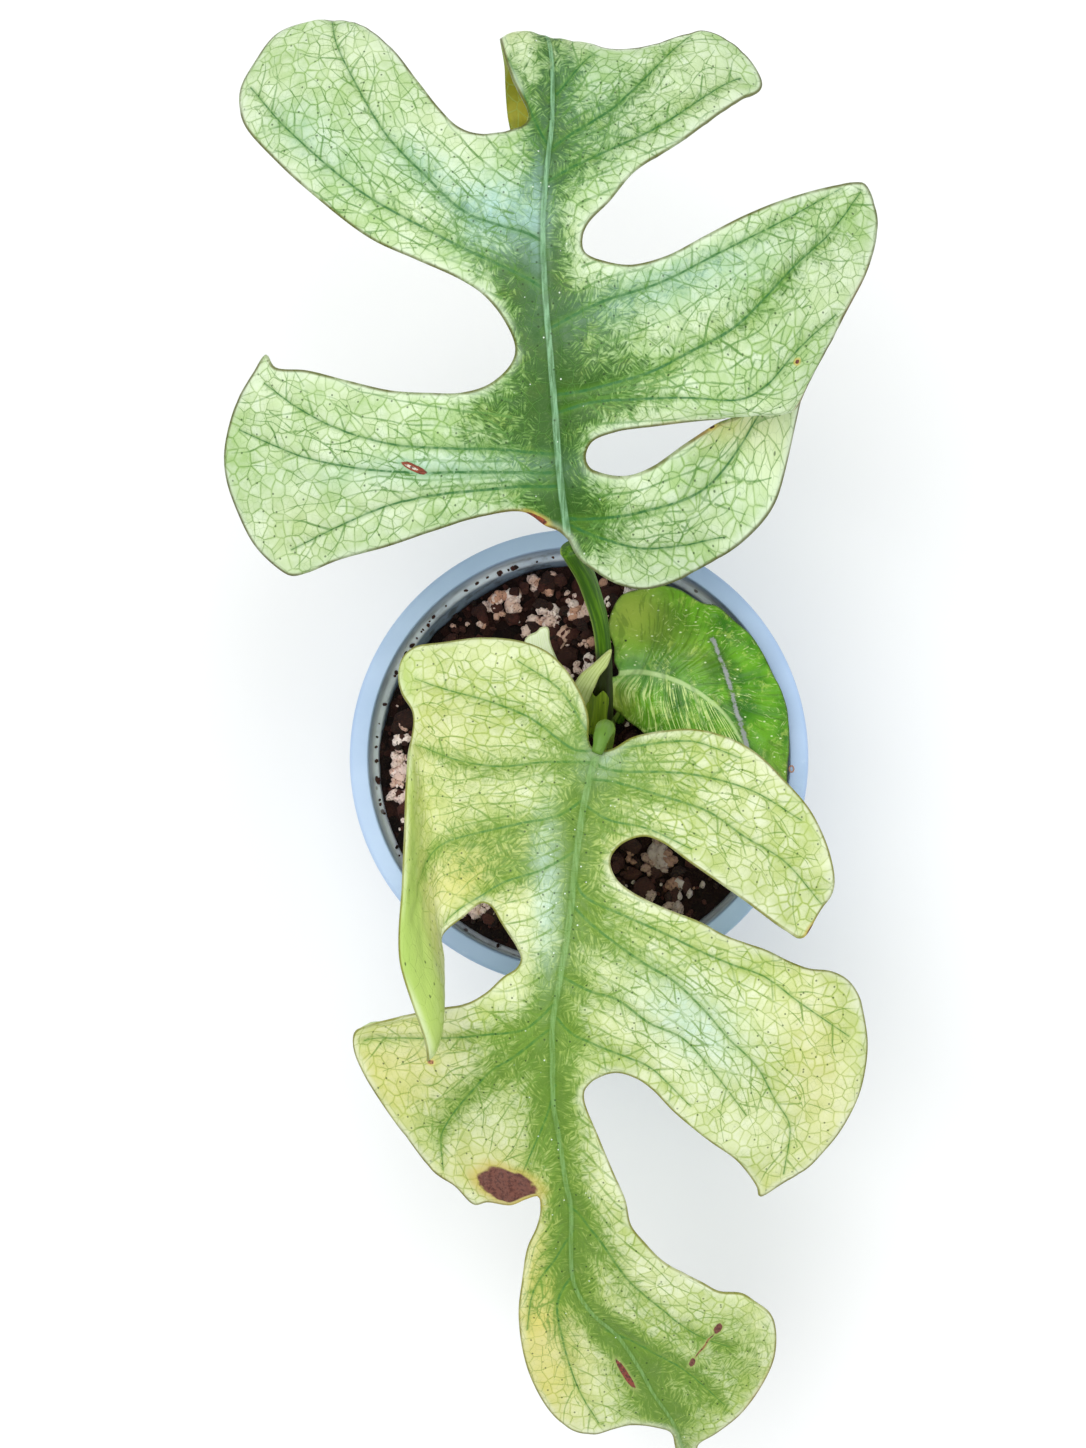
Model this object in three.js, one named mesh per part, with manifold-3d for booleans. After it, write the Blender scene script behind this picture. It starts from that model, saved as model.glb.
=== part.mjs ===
// Potted variegated mini monstera: a young climbing aroid with three leaves in a nursery pot.
// Millimetres, +Z up. The origin is the centre of the pot's underside, +X is right and +Y is back.

import * as THREE from 'three';
import { mergeVertices } from 'three/addons/utils/BufferGeometryUtils.js';
import Module from 'manifold-3d';

const wasm = await Module();
wasm.setup();

// Driving dimensions of the pot
const RIM_DIAMETER = 120;
const POT_HEIGHT = 105;
const BASE_DIAMETER = 86;
const FLANGE_WIDTH = 5;
const FLANGE_THICKNESS = 1.8;
const LIP_DEPTH = 6;
const LEDGE_DEPTH = 12;
const LEDGE_WIDTH = 1.5;
const POT_WALL = 1.8;
const POT_FLOOR = 2.4;
const DRAIN_HOLES = 8;
const DRAIN_DIAMETER = 8;
const DRAIN_CIRCLE_DIAMETER = 60;
const POT_SIDES = 56;
const BASE_CHAMFER = 1;
const LEDGE_CHAMFER = 1;
const RIM_CHAMFER = 0.8;
const MOUTH_CHAMFER = 0.5;
const LIP_CHAMFER = 0.5;
const HOLE_SIDES = 16;
const DRILL_OVERRUN = 1;

// Clearance that pieces keep where they touch
const GAP = 0.3;

// Driving dimensions of the substrate
const SOIL_LEVEL = 93;
const SOIL_SLOPE = 0.1;
const SOIL_SIDES = 40;
const SOIL_RINGS = 7;
const SOIL_SKIRT = 24;
const SOIL_LUMP = 0.9;
const BROAD_WAVE = { alongX: 0.21, startX: 1.3, alongY: 0.17, startY: 0.4 };
const NARROW_WAVE = { alongX: -0.25, alongY: 0.37, share: 0.7 };
const SOIL_TO_RIM = 2;
const SOIL_HOLLOW = [-32, 36];
const SOIL_HOLLOW_WIDTH = 20;
const SOIL_HOLLOW_DEPTH = 5;
const GRIT_SEED = 20;
const PUMICE = { count: 52, sizes: [4.5, 7], flatness: 0.75 };
const BARK = { count: 34, sizes: [5, 9], flatness: 0.4 };
const GRIT_SWELL = [0.78, 1.12];
const GRIT_BREADTH = [0.6, 0.95];
const GRIT_TILT = [-0.5, 0.5];
const GRIT_ROOM = 1;

// The plain hole in the substrate that the stem stands in
const STEM_FOOT = [6, 8];
const STEM_HOLE_DIAMETER = 8;
const STEM_HOLE_BOTTOM = 62;

// Driving dimensions of the plant
const BLADE_THICKNESS = 0.8;
const RIB_DEPTH = 1.6;
const RIB_WIDTH = 2.2;
const VEIN_GROOVE = 0.7;
const VEIN_WIDTH = 2.4;
const EDGE_STEP = 3.6;
const LATTICE_STEP = 5.2;
const SMALL_LATTICE_STEP = 4.4;
const SHEATH_STEP = 1.9;
const SHEATH_RIB_DEPTH = 0.4;
const VEIN_STEP = 4.4;
const VEIN_ROOM = 0.45;
const LATTICE_ROOM = 0.62;
const LATTICE_JITTER = 0.3;
const LATTICE_SEED = 7;
const TANGENT_REACH = 0.2;
const STEM_SIDES = 14;
const STALK_SIDES = 12;
const STALK_STEPS = 18;
const SMALL_STALK_SIDES = 10;
const SMALL_STALK_STEPS = 6;

// Mesh limits: points this close are one, rounds of refining an edge, and a place beyond all points
const WELD_DISTANCE = 1e-4;
const EDGE_ROUNDS = 6;
const FAR_AWAY = 1e4;

// Colour and roughness of each kind of piece
const LOOKS = {
  pot: [0xa9bcd2, 0.5],
  soil: [0x4a3026, 0.95],
  stem: [0x6d8a3c, 0.6],
  stalk: [0x7f9a4c, 0.5],
  leaf: [0x93ab62, 0.45],
  youngLeaf: [0x5f9442, 0.45],
  spear: [0xc9d39a, 0.5],
  oldSheath: [0xdfe6b8, 0.6],
};

// A leaf is described as it lies pressed flat: points are plan places [x, y] in the pot's frame.
// Each landmark gives the height of a pressed place, as [x, y, z], and where the blade is bent
// sideways as well, the plan place that it is bent to, as [x, y, z, bentX, bentY].

const LEAF_1 = {
  outline: [
    [-1.5, 48.5], [-4, 50.5], [-6.5, 51.5], [-11.5, 54.5], [-21, 53.5], [-33, 50.5], [-44, 47.5],
    [-56.5, 45], [-64.5, 42.5], [-68.5, 42], [-72, 44], [-77.5, 49.5], [-81.5, 57.5], [-84, 65.5],
    [-84, 72], [-80.5, 82], [-75.5, 89], [-72.5, 92.5], [-70.5, 89.5], [-62.5, 88], [-53, 85],
    [-41.5, 81.5], [-32, 80.5], [-25.5, 80.5], [-19, 82.5], [-14, 87], [-13, 90.5], [-15.5, 96.5],
    [-20, 102], [-25, 105.5], [-36, 111], [-46.5, 116.5], [-59.5, 127], [-69, 136],
    [-77.5, 146.5], [-79.5, 152.5], [-79.5, 158], [-76.5, 164], [-71, 172.5], [-64, 175.5],
    [-61, 176.5], [-52, 173.5], [-44, 166], [-37, 156.5], [-30.5, 147], [-26, 142], [-21.5, 140],
    [-14.5, 140.5], [-10.5, 142.5], [-10, 145.5], [-13.5, 153.5], [-15.5, 159.5], [-17, 165],
    [-18.5, 172], [-19, 182], [-17, 192], [-13, 199], [-8, 193], [-3, 184], [1, 175], [3, 168],
    [6.5, 165], [16, 166.5], [27.5, 170], [32, 171.5], [37.5, 170], [42.5, 165.5], [45, 160],
    [44.5, 156.5], [40, 152.5], [31.5, 145], [23.5, 138.5], [14.5, 131.5], [8.5, 123.5],
    [4, 118.5], [2.5, 115], [3, 111.5], [8, 109.5], [13.5, 109], [21.5, 111.5], [31, 117],
    [40.5, 122.5], [53.5, 128.5], [66.5, 133], [69, 133], [72, 126.5], [72, 121.5], [69.5, 112],
    [64, 101.5], [56, 87], [52.8, 81], [50, 77.5], [41.5, 76.5], [34, 75], [19, 73],
    [10, 71.5], [4.5, 69.5], [3, 66.5], [4, 64], [8.5, 62.5], [13, 62.5], [19, 64.5], [26, 68],
    [34, 70.5], [43, 71], [51, 71.5], [55.5, 74], [54.8, 71], [52.3, 66], [48.5, 60], [42, 53],
    [36, 47.5], [27.5, 41.5], [21.5, 39], [16, 38], [10, 39], [5, 41.5], [1, 44.5],
  ],
  midrib: [
    [-1.5, 49.5], [-3, 62], [-4, 75.5], [-5, 89], [-6, 101], [-6.5, 118], [-5.5, 133],
    [-4.5, 143.5], [-5, 161], [-8, 176], [-12, 194],
  ],
  veins: [
    [[-3, 60], [-22, 59], [-44, 56], [-68, 48]],
    [[-4, 63], [-18, 63], [-37, 63], [-63, 68], [-80, 76]],
    [[-4, 67], [-28, 68], [-53, 73], [-73, 86]],
    [[-6, 103], [-25, 113], [-48, 127], [-69, 146], [-77, 157]],
    [[-6, 111], [-24, 121], [-43, 141], [-56, 164]],
    [[-2, 52], [6, 49], [16, 47], [36, 51]],
    [[-2, 53], [12, 54], [31, 59], [44, 68]],
    [[-4, 76], [15, 79], [38, 84], [62, 102]],
    [[-4, 80], [17, 85], [36, 97], [53, 113], [68, 130]],
    [[-6, 94], [20, 105], [48, 121], [63, 129]],
    [[-6, 128], [22, 145], [40, 159]],
    [[-5, 136], [9, 147], [22, 162]],
  ],
  landmarks: [
    [-1.5, 51, 170], [-4.5, 75.5, 181], [-6, 101, 188], [-6.5, 118, 190], [-5, 138, 187],
    [-4.5, 157, 180], [-21, 53.5, 173], [-33, 50.5, 170], [-56.5, 45, 160], [-70, 43, 154],
    [-83.5, 67, 158], [-79.5, 82, 165], [-53, 85, 177], [-33, 67.5, 181], [-57, 67, 173],
    [-15.5, 85, 184], [-36, 111, 186], [-59.5, 127, 181], [-79, 154.5, 168], [-71, 172.5, 163],
    [-52, 173, 167], [-37, 156.5, 177], [-21.5, 140, 186], [-40, 137.5, 183],
    [-16, 160, 179], [6.5, 160, 177], [30, 171, 165], [44, 161.5, 161], [23.5, 138.5, 180],
    [18, 153, 176], [6.5, 121.5, 188], [21.5, 111.5, 185], [40.5, 122.5, 180],
    [67.5, 132.5, 168], [72, 123, 163], [60.5, 94.5, 167], [51.5, 78.5, 172], [34, 75, 179],
    [10, 71.5, 182], [29.5, 97.5, 181], [48, 110.5, 176], [19, 64.5, 177],
    [34, 70.5, 172, 34, 75], [43, 71, 169, 44, 80], [51, 71.5, 166, 51.5, 83.5],
    [55.5, 74, 164, 54.6, 86], [42, 76.4, 176], [56.5, 87.5, 169.5], [48.5, 60, 160],
    [30, 43, 157], [16, 38, 158], [5, 41.5, 165],
    [25, 57, 172], [-17, 168, 174, -16.5, 166.5], [-8, 170, 174, -8, 167.5], [4, 168, 172, 5, 165.5],
    [-18.5, 177, 166, -16, 162.5], [0.5, 177, 165, 1, 162],
    [-19, 187, 161, -16.8, 155.5], [-6, 187, 161, -6, 154], [-13, 199, 158, -13, 145],
  ],
};

const LEAF_2 = {
  outline: [
    [8, 0], [14, 3], [21, 4.5], [28, 5], [35.5, 3.5], [43.5, -0.5], [51, -7.5], [57.5, -15],
    [62.5, -26], [63.5, -34], [60, -40], [56, -46], [51.5, -44], [41, -36.5], [28, -27.5],
    [21, -22.5], [16.5, -21], [11, -23], [8.5, -26.5], [9.5, -30.5], [12.5, -33.5], [20, -37.5],
    [30, -41.5], [36.5, -45], [46, -48.5], [56, -53], [62.5, -54], [66.5, -56], [69.5, -60],
    [71, -65.5], [72, -72], [71.5, -79.5], [70, -86], [66, -94.5], [62, -100], [58, -104.5],
    [52, -108.5], [46, -112], [45.5, -110], [43.5, -106.5], [39.5, -101.5], [32.5, -96],
    [24, -88.5], [18.5, -82.5], [14.5, -79.5], [10, -78], [5.5, -79], [2.5, -81.5], [2, -84],
    [5.5, -94], [9, -103], [12, -110.5], [13.5, -117.5], [17, -122.5], [22, -128], [32, -134.5],
    [36, -137], [42, -138], [45.5, -140.5], [49.5, -144], [51, -148], [51, -156.5],
    [48, -164.5], [42.5, -173], [36, -179], [31.5, -182.5], [31.5, -188], [29.5, -194.5],
    [27, -191.5], [25.5, -184.5], [24, -178.5], [19.5, -176], [13.5, -175], [9, -176],
    [4, -177.5], [-1, -176.5], [-4.5, -174], [-8.5, -169], [-12.5, -160], [-14.5, -150.5],
    [-15, -140.5], [-14, -132.5], [-12.5, -123.5], [-10, -117.5], [-9, -113], [-9.5, -109.5],
    [-12.5, -110.5], [-16.5, -112.5], [-22.5, -112.5], [-26, -113.5], [-31, -109], [-36, -106],
    [-43, -97], [-48, -89.5], [-52, -80.5], [-53.8, -73], [-53.8, -68.5], [-52.5, -67],
    [-48.5, -65.5], [-42.5, -64], [-32, -62.5], [-26.5, -61.5], [-21.5, -58.5], [-17, -54.5],
    [-14, -52.5], [-13, -50], [-14, -47.5], [-17.5, -42], [-20.5, -37.5], [-22.5, -37],
    [-27, -41.5], [-32, -45], [-38, -48], [-46, -50.5], [-55, -52], [-63, -51], [-63, -45],
    [-61, -36], [-57, -26], [-52, -14], [-46, -4], [-40, 4], [-39.5, 9.5], [-43, 14],
    [-44.5, 18], [-43.5, 23], [-40, 26], [-32.5, 27], [-23.5, 28], [-14, 27], [-7.5, 24.5],
    [-3, 20.5], [1.5, 13.5], [3.2, 8], [3.8, 1],
  ],
  midrib: [
    [6, 1], [5, -1.5], [2.5, -11.5], [0.5, -24.5], [-1, -38], [-3.5, -54.5], [-5.5, -66],
    [-5.5, -74.5], [-5.5, -86], [-4, -95], [-2.5, -106.5], [-1.5, -111.5], [-1, -133],
    [3, -141], [10.5, -149.5], [15.5, -158], [19, -165.5], [24.5, -175], [29, -190],
  ],
  veins: [
    [[5, 0], [0, 0], [-11, 8], [-20, 12], [-39, 18]],
    [[2, -12], [-13, -18], [-31, -23], [-52, -32]],
    [[1, -24], [-17, -32], [-31, -42]],
    [[-5, -61], [-12, -67], [-32, -71], [-50, -74]],
    [[-6, -67], [-15, -74], [-27, -85], [-34, -103]],
    [[6, -4], [28, -6], [43, -10], [55, -17]],
    [[4, -7], [20, -11], [41, -21], [60, -37]],
    [[0, -31], [12, -40], [31, -49], [54, -61], [66, -70]],
    [[-1, -37], [16, -51], [37, -70], [49, -86], [52, -104]],
    [[-4, -54], [18, -66], [34, -79], [42, -90]],
    [[-2, -112], [6, -122], [21, -141], [38, -152]],
    [[-1, -131], [-5, -138], [-4, -149], [3, -170]],
    [[7, -147], [18, -153], [38, -168]],
  ],
  landmarks: [
    [6, 1, 150], [2.5, -11.5, 153], [0, -29, 155.5], [-3.5, -54.5, 154.5], [-5.5, -74.5, 150],
    [-4, -95, 142], [-1.5, -111.5, 133], [-1, -133, 120], [10.5, -149.5, 108], [19, -165, 96],
    [29, -188, 76], [28, 5, 149], [51, -7.5, 145], [63, -29, 137], [56.5, -46, 132],
    [41, -37, 142], [28, -27.5, 150], [11, -23, 154], [30, -12, 151], [9.5, -30.5, 154],
    [30, -41.5, 150], [56, -53, 140], [71.5, -68.5, 131], [68.5, -90.5, 123], [58, -104.5, 117],
    [46, -111.5, 115], [32.5, -96, 130], [15.5, -80, 143], [2.5, -82.5, 147], [35, -68, 142],
    [5.5, -94, 141], [12, -110.5, 132], [22, -128, 119], [42, -138, 106], [51, -150.5, 97],
    [42.5, -173, 87], [32, -182, 82], [-9, -113, 132], [-15, -137.5, 119],
    [-11.5, -162.5, 102], [-1, -176.5, 93], [16, -175.5, 91], [-13.5, -49.5, 152],
    [-21.5, -58.5, 150], [-32, -62.5, 145], [-54.5, -69, 133], [-48, -89.5, 124],
    [-35, -106.5, 119], [-22.5, -113, 123], [-26, -80.5, 139], [-3, 20.5, 147],
    [-23.5, 28, 141], [-43, 23, 137], [-40, 4, 145], [-36.5, -12, 149], [-33, -30, 151.5],
    [-32, -45, 151], [-22.5, -37, 153], [-18, -7.5, 152],
    [-46, -4, 152, -40.5, -4], [-52, -14, 158, -40.5, -19], [-57, -26, 165, -40.5, -34],
    [-61, -36, 168, -40.5, -51], [-63, -50, 160, -34.5, -73.5], [-55, -52, 156, -32.5, -67],
    [-46, -50.5, 153, -32, -59], [-38, -48, 151.5, -32, -51], [-46, -30, 160, -37, -35],
  ],
};

const LEAF_3 = {
  outline: [
    [10.5, 21], [9.5, 24.5], [9.5, 28], [8, 33.5], [9, 38], [11.5, 42], [16, 43.5], [20, 44.5],
    [23.5, 44], [26.5, 43], [32, 39.5], [36, 38.5], [40.5, 34.5], [44.5, 31], [47.5, 26.5],
    [50, 21.5], [52.5, 16.5], [54, 11.5], [54.5, 2.5], [54, -3], [53.5, -9], [51.5, -13],
    [47, -14.5], [40.5, -13], [33, -9], [24.5, -2.5], [17, 6], [12.5, 9.5], [7.5, 14.5],
    [5.5, 19], [6.5, 20],
  ],
  midrib: [
    [10.5, 21], [19, 21.5], [26.5, 20.5], [32.5, 17.5], [38.5, 12], [44, 4.5], [49.5, -3.5],
    [52, -11],
  ],
  veins: [
    [[16, 21], [20, 30], [21, 40]],
    [[24, 21], [31, 27], [35, 35]],
    [[31, 18], [42, 19], [50, 21]],
    [[15, 22], [11, 17], [12, 12]],
    [[22, 21], [23, 12], [28, -2]],
    [[29, 19], [33, 6], [39, -10]],
  ],
  landmarks: [
    [10.5, 21, 112.5], [19, 21.5, 115], [29, 19, 117], [38.5, 12, 117], [46.5, 0, 115],
    [52.5, -11.5, 111], [9.5, 37, 109], [19, 44, 110], [32, 39.5, 113], [44.5, 31, 114],
    [53.5, 13, 112], [54.5, -1, 110], [7, 17, 111], [17, 6, 112], [31.5, -7.5, 111],
    [29, 5, 116], [43, -13.5, 109],
  ],
};

// The sheaths are small pointed blades, described the same way

const SPEAR = {
  outline: [
    [2.4, 9.2], [2.9, 11.4], [3.1, 13.3], [4.3, 15.5], [5.8, 18.5], [7.9, 21], [8.7, 24.2],
    [4.3, 21.2], [0.6, 18.4], [-1.2, 15], [-0.9, 11.5],
  ],
  midrib: [[0.6, 9.5], [1, 13], [3.5, 17.5], [8.3, 23.6]],
  veins: [],
  landmarks: [
    [2.4, 9.2, 115.5], [2.9, 11.4, 119.5], [-0.9, 11.5, 120], [4.3, 15.5, 134], [-1, 15, 130],
    [1.6, 14.6, 129], [5.8, 18.5, 139], [3.2, 17.8, 136], [0.6, 18.4, 137], [8.5, 24, 146],
    [6, 21, 141.5],
  ],
};

const OLD_SHEATH = {
  outline: [
    [1.6, 8], [1.8, 11.5], [-1, 16.5], [-4.5, 23], [-7, 29], [-7.5, 32.5], [-9.4, 32.5],
    [-10.6, 31.4], [-12.4, 30.7], [-13.6, 29.3], [-11, 23], [-6.5, 15], [-1.5, 8.5],
  ],
  midrib: [[0.8, 10], [-5, 18], [-9, 26], [-10, 31]],
  veins: [],
  landmarks: [
    [1.6, 8, 106], [1.8, 11.5, 106.5], [-1.5, 8.5, 106], [-4.5, 23, 114], [-11, 23, 113],
    [-7.6, 21.5, 111], [-7.5, 32.5, 119.5], [-13.6, 29.3, 117], [-9.8, 31, 118],
  ],
};

// Seeded random numbers, so that every run places the same grit

function seededRandom(seed) {
  let state = seed;
  return () => {
    state = (state + 0x6d2b79f5) | 0;
    let t = Math.imul(state ^ (state >>> 15), 1 | state);
    t = (t + Math.imul(t ^ (t >>> 7), 61 | t)) ^ t;
    return ((t ^ (t >>> 14)) >>> 0) / 4294967296;
  };
}

const between = (random, [low, high]) => low + (high - low) * random();

// Solids and booleans

function toManifold(geometry) {
  const bare = geometry.clone();
  bare.deleteAttribute('normal');
  bare.deleteAttribute('uv');
  const merged = mergeVertices(bare, WELD_DISTANCE);
  return new wasm.Manifold(new wasm.Mesh({
    numProp: 3,
    vertProperties: new Float32Array(merged.attributes.position.array),
    triVerts: new Uint32Array(merged.index.array),
  }));
}

function fromManifold(solid) {
  const mesh = solid.getMesh();
  const geometry = new THREE.BufferGeometry();
  geometry.setAttribute('position', new THREE.BufferAttribute(mesh.vertProperties, 3));
  geometry.setIndex(new THREE.BufferAttribute(mesh.triVerts, 1));
  geometry.computeVertexNormals();
  return geometry;
}

// Fills hollows that fusing sealed, and drops loose scraps
function largestShell(solid) {
  const shells = solid.decompose();
  return shells.reduce((best, shell) => (shell.volume() > best.volume() ? shell : best));
}

function lathe(profile, sides) {
  const geometry = new THREE.LatheGeometry(profile.map(([r, z]) => new THREE.Vector2(r, z)), sides);
  return geometry.rotateX(Math.PI / 2);
}

function uprightCylinder(diameter, height, bottom, x, y) {
  const geometry = new THREE.CylinderGeometry(diameter / 2, diameter / 2, height, HOLE_SIDES);
  return geometry.rotateX(Math.PI / 2).translate(x, y, bottom + height / 2);
}

// A stalk: a tube along a curve whose radius changes from end to end
function stalk(points, radii, sides, steps) {
  const curve = new THREE.CatmullRomCurve3(points.map((p) => new THREE.Vector3(...p)));
  const section = new THREE.Shape();
  for (let i = 0; i < sides; i += 1) {
    const angle = (2 * Math.PI * i) / sides;
    const corner = [Math.cos(angle), Math.sin(angle)];
    if (i === 0) section.moveTo(...corner);
    else section.lineTo(...corner);
  }
  const geometry = new THREE.ExtrudeGeometry(section, { extrudePath: curve, steps, bevelEnabled: false });
  const position = geometry.attributes.position;
  const centres = curve.getSpacedPoints(steps);
  const vertex = new THREE.Vector3();
  for (let i = 0; i < position.count; i += 1) {
    vertex.fromBufferAttribute(position, i);
    let ring = 0;
    for (let k = 1; k <= steps; k += 1) {
      if (vertex.distanceTo(centres[k]) < vertex.distanceTo(centres[ring])) ring = k;
    }
    const radius = alongList(radii, ring / steps);
    vertex.sub(centres[ring]).multiplyScalar(radius).add(centres[ring]);
    position.setXYZ(i, vertex.x, vertex.y, vertex.z);
  }
  return geometry;
}

// The value at a fraction of the way along a list of evenly spaced values
function alongList(values, fraction) {
  const place = fraction * (values.length - 1);
  const low = Math.min(Math.floor(place), values.length - 2);
  return THREE.MathUtils.lerp(values[low], values[low + 1], place - low);
}

// Thin-plate surfaces: the smoothest sheet through a leaf's landmarks

function plateKernel(dx, dy) {
  const squared = dx * dx + dy * dy;
  return squared > 0 ? 0.5 * squared * Math.log(squared) : 0;
}

function solveLinear(matrix, columns) {
  const n = matrix.length;
  const rows = matrix.map((row, i) => [...row, ...columns[i]]);
  for (let i = 0; i < n; i += 1) {
    let pivot = i;
    for (let r = i + 1; r < n; r += 1) {
      if (Math.abs(rows[r][i]) > Math.abs(rows[pivot][i])) pivot = r;
    }
    [rows[i], rows[pivot]] = [rows[pivot], rows[i]];
    for (let r = 0; r < n; r += 1) {
      if (r === i) continue;
      const factor = rows[r][i] / rows[i][i];
      for (let c = i; c < rows[r].length; c += 1) rows[r][c] -= factor * rows[i][c];
    }
  }
  return rows.map((row, i) => row.slice(n).map((value) => value / row[i]));
}

function plateThrough(landmarks) {
  const n = landmarks.length;
  const matrix = landmarks.map(([x, y]) => [
    ...landmarks.map(([u, v]) => plateKernel(x - u, y - v)), 1, x, y,
  ]);
  const targets = landmarks.map(([x, y, z, bentX = x, bentY = y]) => [bentX - x, bentY - y, z]);
  for (const row of [() => 1, ([x]) => x, ([, y]) => y]) {
    matrix.push([...landmarks.map(row), 0, 0, 0]);
    targets.push([0, 0, 0]);
  }
  const weights = solveLinear(matrix, targets);
  return (x, y) => {
    const kernels = [...landmarks.map(([u, v]) => plateKernel(x - u, y - v)), 1, x, y];
    const sum = [0, 0, 0];
    for (let i = 0; i < n + 3; i += 1) {
      for (let axis = 0; axis < 3; axis += 1) sum[axis] += kernels[i] * weights[i][axis];
    }
    return new THREE.Vector3(x + sum[0], y + sum[1], sum[2]);
  };
}

// Points of a leaf, all in its pressed plan

function curveThrough(points, closed = false) {
  return new THREE.CatmullRomCurve3(points.map(([x, y]) => new THREE.Vector3(x, y, 0)), closed);
}

function spacedPoints(points, step, closed = false) {
  const curve = curveThrough(points, closed);
  const count = Math.max(2, Math.round(curve.getLength() / step));
  const spaced = curve.getSpacedPoints(count).map((p) => [p.x, p.y]);
  if (closed) spaced.pop();
  return spaced;
}

function isInside([x, y], polygon) {
  let inside = false;
  for (let i = 0, j = polygon.length - 1; i < polygon.length; j = i, i += 1) {
    const [xi, yi] = polygon[i];
    const [xj, yj] = polygon[j];
    if (yi > y !== yj > y && x < ((xj - xi) * (y - yi)) / (yj - yi) + xi) inside = !inside;
  }
  return inside;
}

function distanceToSegment([x, y], [ax, ay], [bx, by]) {
  const lengthSquared = (bx - ax) ** 2 + (by - ay) ** 2;
  const along = ((x - ax) * (bx - ax) + (y - ay) * (by - ay)) / lengthSquared;
  const t = THREE.MathUtils.clamp(along, 0, 1);
  return Math.hypot(x - ax - t * (bx - ax), y - ay - t * (by - ay));
}

function distanceToLine(point, line) {
  let distance = Infinity;
  for (let i = 1; i < line.length; i += 1) {
    distance = Math.min(distance, distanceToSegment(point, line[i - 1], line[i]));
  }
  return distance;
}

// Delaunay triangles of a set of plan points, by adding one point at a time
function delaunay(points) {
  const all = [...points, [-FAR_AWAY, -FAR_AWAY], [FAR_AWAY, -FAR_AWAY], [0, FAR_AWAY]];
  const n = points.length;
  const makeTriangle = (a, b, c) => {
    const [ax, ay] = all[a];
    const [bx, by] = [all[b][0] - ax, all[b][1] - ay];
    const [cx, cy] = [all[c][0] - ax, all[c][1] - ay];
    const d = 2 * (bx * cy - by * cx);
    const ux = (cy * (bx * bx + by * by) - by * (cx * cx + cy * cy)) / d;
    const uy = (bx * (cx * cx + cy * cy) - cx * (bx * bx + by * by)) / d;
    return { corners: [a, b, c], x: ax + ux, y: ay + uy, radiusSquared: ux * ux + uy * uy };
  };
  let triangles = [makeTriangle(n, n + 1, n + 2)];
  for (let p = 0; p < n; p += 1) {
    const [x, y] = all[p];
    const edges = new Map();
    const kept = [];
    for (const triangle of triangles) {
      if ((x - triangle.x) ** 2 + (y - triangle.y) ** 2 >= triangle.radiusSquared) {
        kept.push(triangle);
        continue;
      }
      const [a, b, c] = triangle.corners;
      for (const [from, to] of [[a, b], [b, c], [c, a]]) {
        const reverse = `${to},${from}`;
        if (edges.has(reverse)) edges.delete(reverse);
        else edges.set(`${from},${to}`, [from, to]);
      }
    }
    for (const [from, to] of edges.values()) kept.push(makeTriangle(from, to, p));
    triangles = kept;
  }
  return triangles.map((t) => t.corners).filter((corners) => Math.max(...corners) < n);
}

// Adds the midpoint of each outline edge that the triangles leave out, until none is left out
function triangulateInside(outline, inner) {
  let edge = outline;
  for (let round = 0; round < EDGE_ROUNDS; round += 1) {
    const points = [...edge, ...inner];
    const triangles = delaunay(points);
    const joined = new Set(triangles.flatMap(([a, b, c]) => [`${a},${b}`, `${b},${c}`, `${c},${a}`]));
    const refined = [];
    edge.forEach((point, i) => {
      const next = (i + 1) % edge.length;
      refined.push(point);
      if (!joined.has(`${i},${next}`) && !joined.has(`${next},${i}`)) {
        refined.push([(point[0] + edge[next][0]) / 2, (point[1] + edge[next][1]) / 2]);
      }
    });
    if (refined.length === edge.length) {
      const kept = triangles.filter((corners) => {
        const centre = [0, 1].map((axis) => corners.reduce((sum, c) => sum + points[c][axis] / 3, 0));
        return isInside(centre, edge);
      });
      return { points, triangles: kept };
    }
    edge = refined;
  }
  throw new Error('a leaf outline could not be triangulated');
}

// Vertices on the outline, along the midrib and veins, and on a lattice between them
function pressedMesh(leaf, latticeStep) {
  const random = seededRandom(LATTICE_SEED);
  const edge = spacedPoints(leaf.outline, Math.min(EDGE_STEP, latticeStep), true);
  const inner = [];
  const isFree = (point, room) => isInside(point, edge)
    && distanceToLine(point, [...edge, edge[0]]) > room
    && inner.every(([x, y]) => Math.hypot(x - point[0], y - point[1]) > room);
  for (const line of [leaf.midrib, ...leaf.veins]) {
    for (const point of spacedPoints(line, VEIN_STEP)) {
      if (isFree(point, VEIN_ROOM * VEIN_STEP)) inner.push(point);
    }
  }
  const xs = edge.map(([x]) => x);
  const ys = edge.map(([, y]) => y);
  const rowStep = (latticeStep * Math.sqrt(3)) / 2;
  let row = 0;
  for (let y = Math.min(...ys); y < Math.max(...ys); y += rowStep) {
    const shift = (row % 2) * (latticeStep / 2);
    row += 1;
    for (let x = Math.min(...xs) + shift; x < Math.max(...xs); x += latticeStep) {
      const nudge = () => LATTICE_JITTER * (random() - 0.5);
      const point = [x + nudge(), y + nudge()];
      if (isFree(point, LATTICE_ROOM * latticeStep)) inner.push(point);
    }
  }
  return triangulateInside(edge, inner);
}

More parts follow.
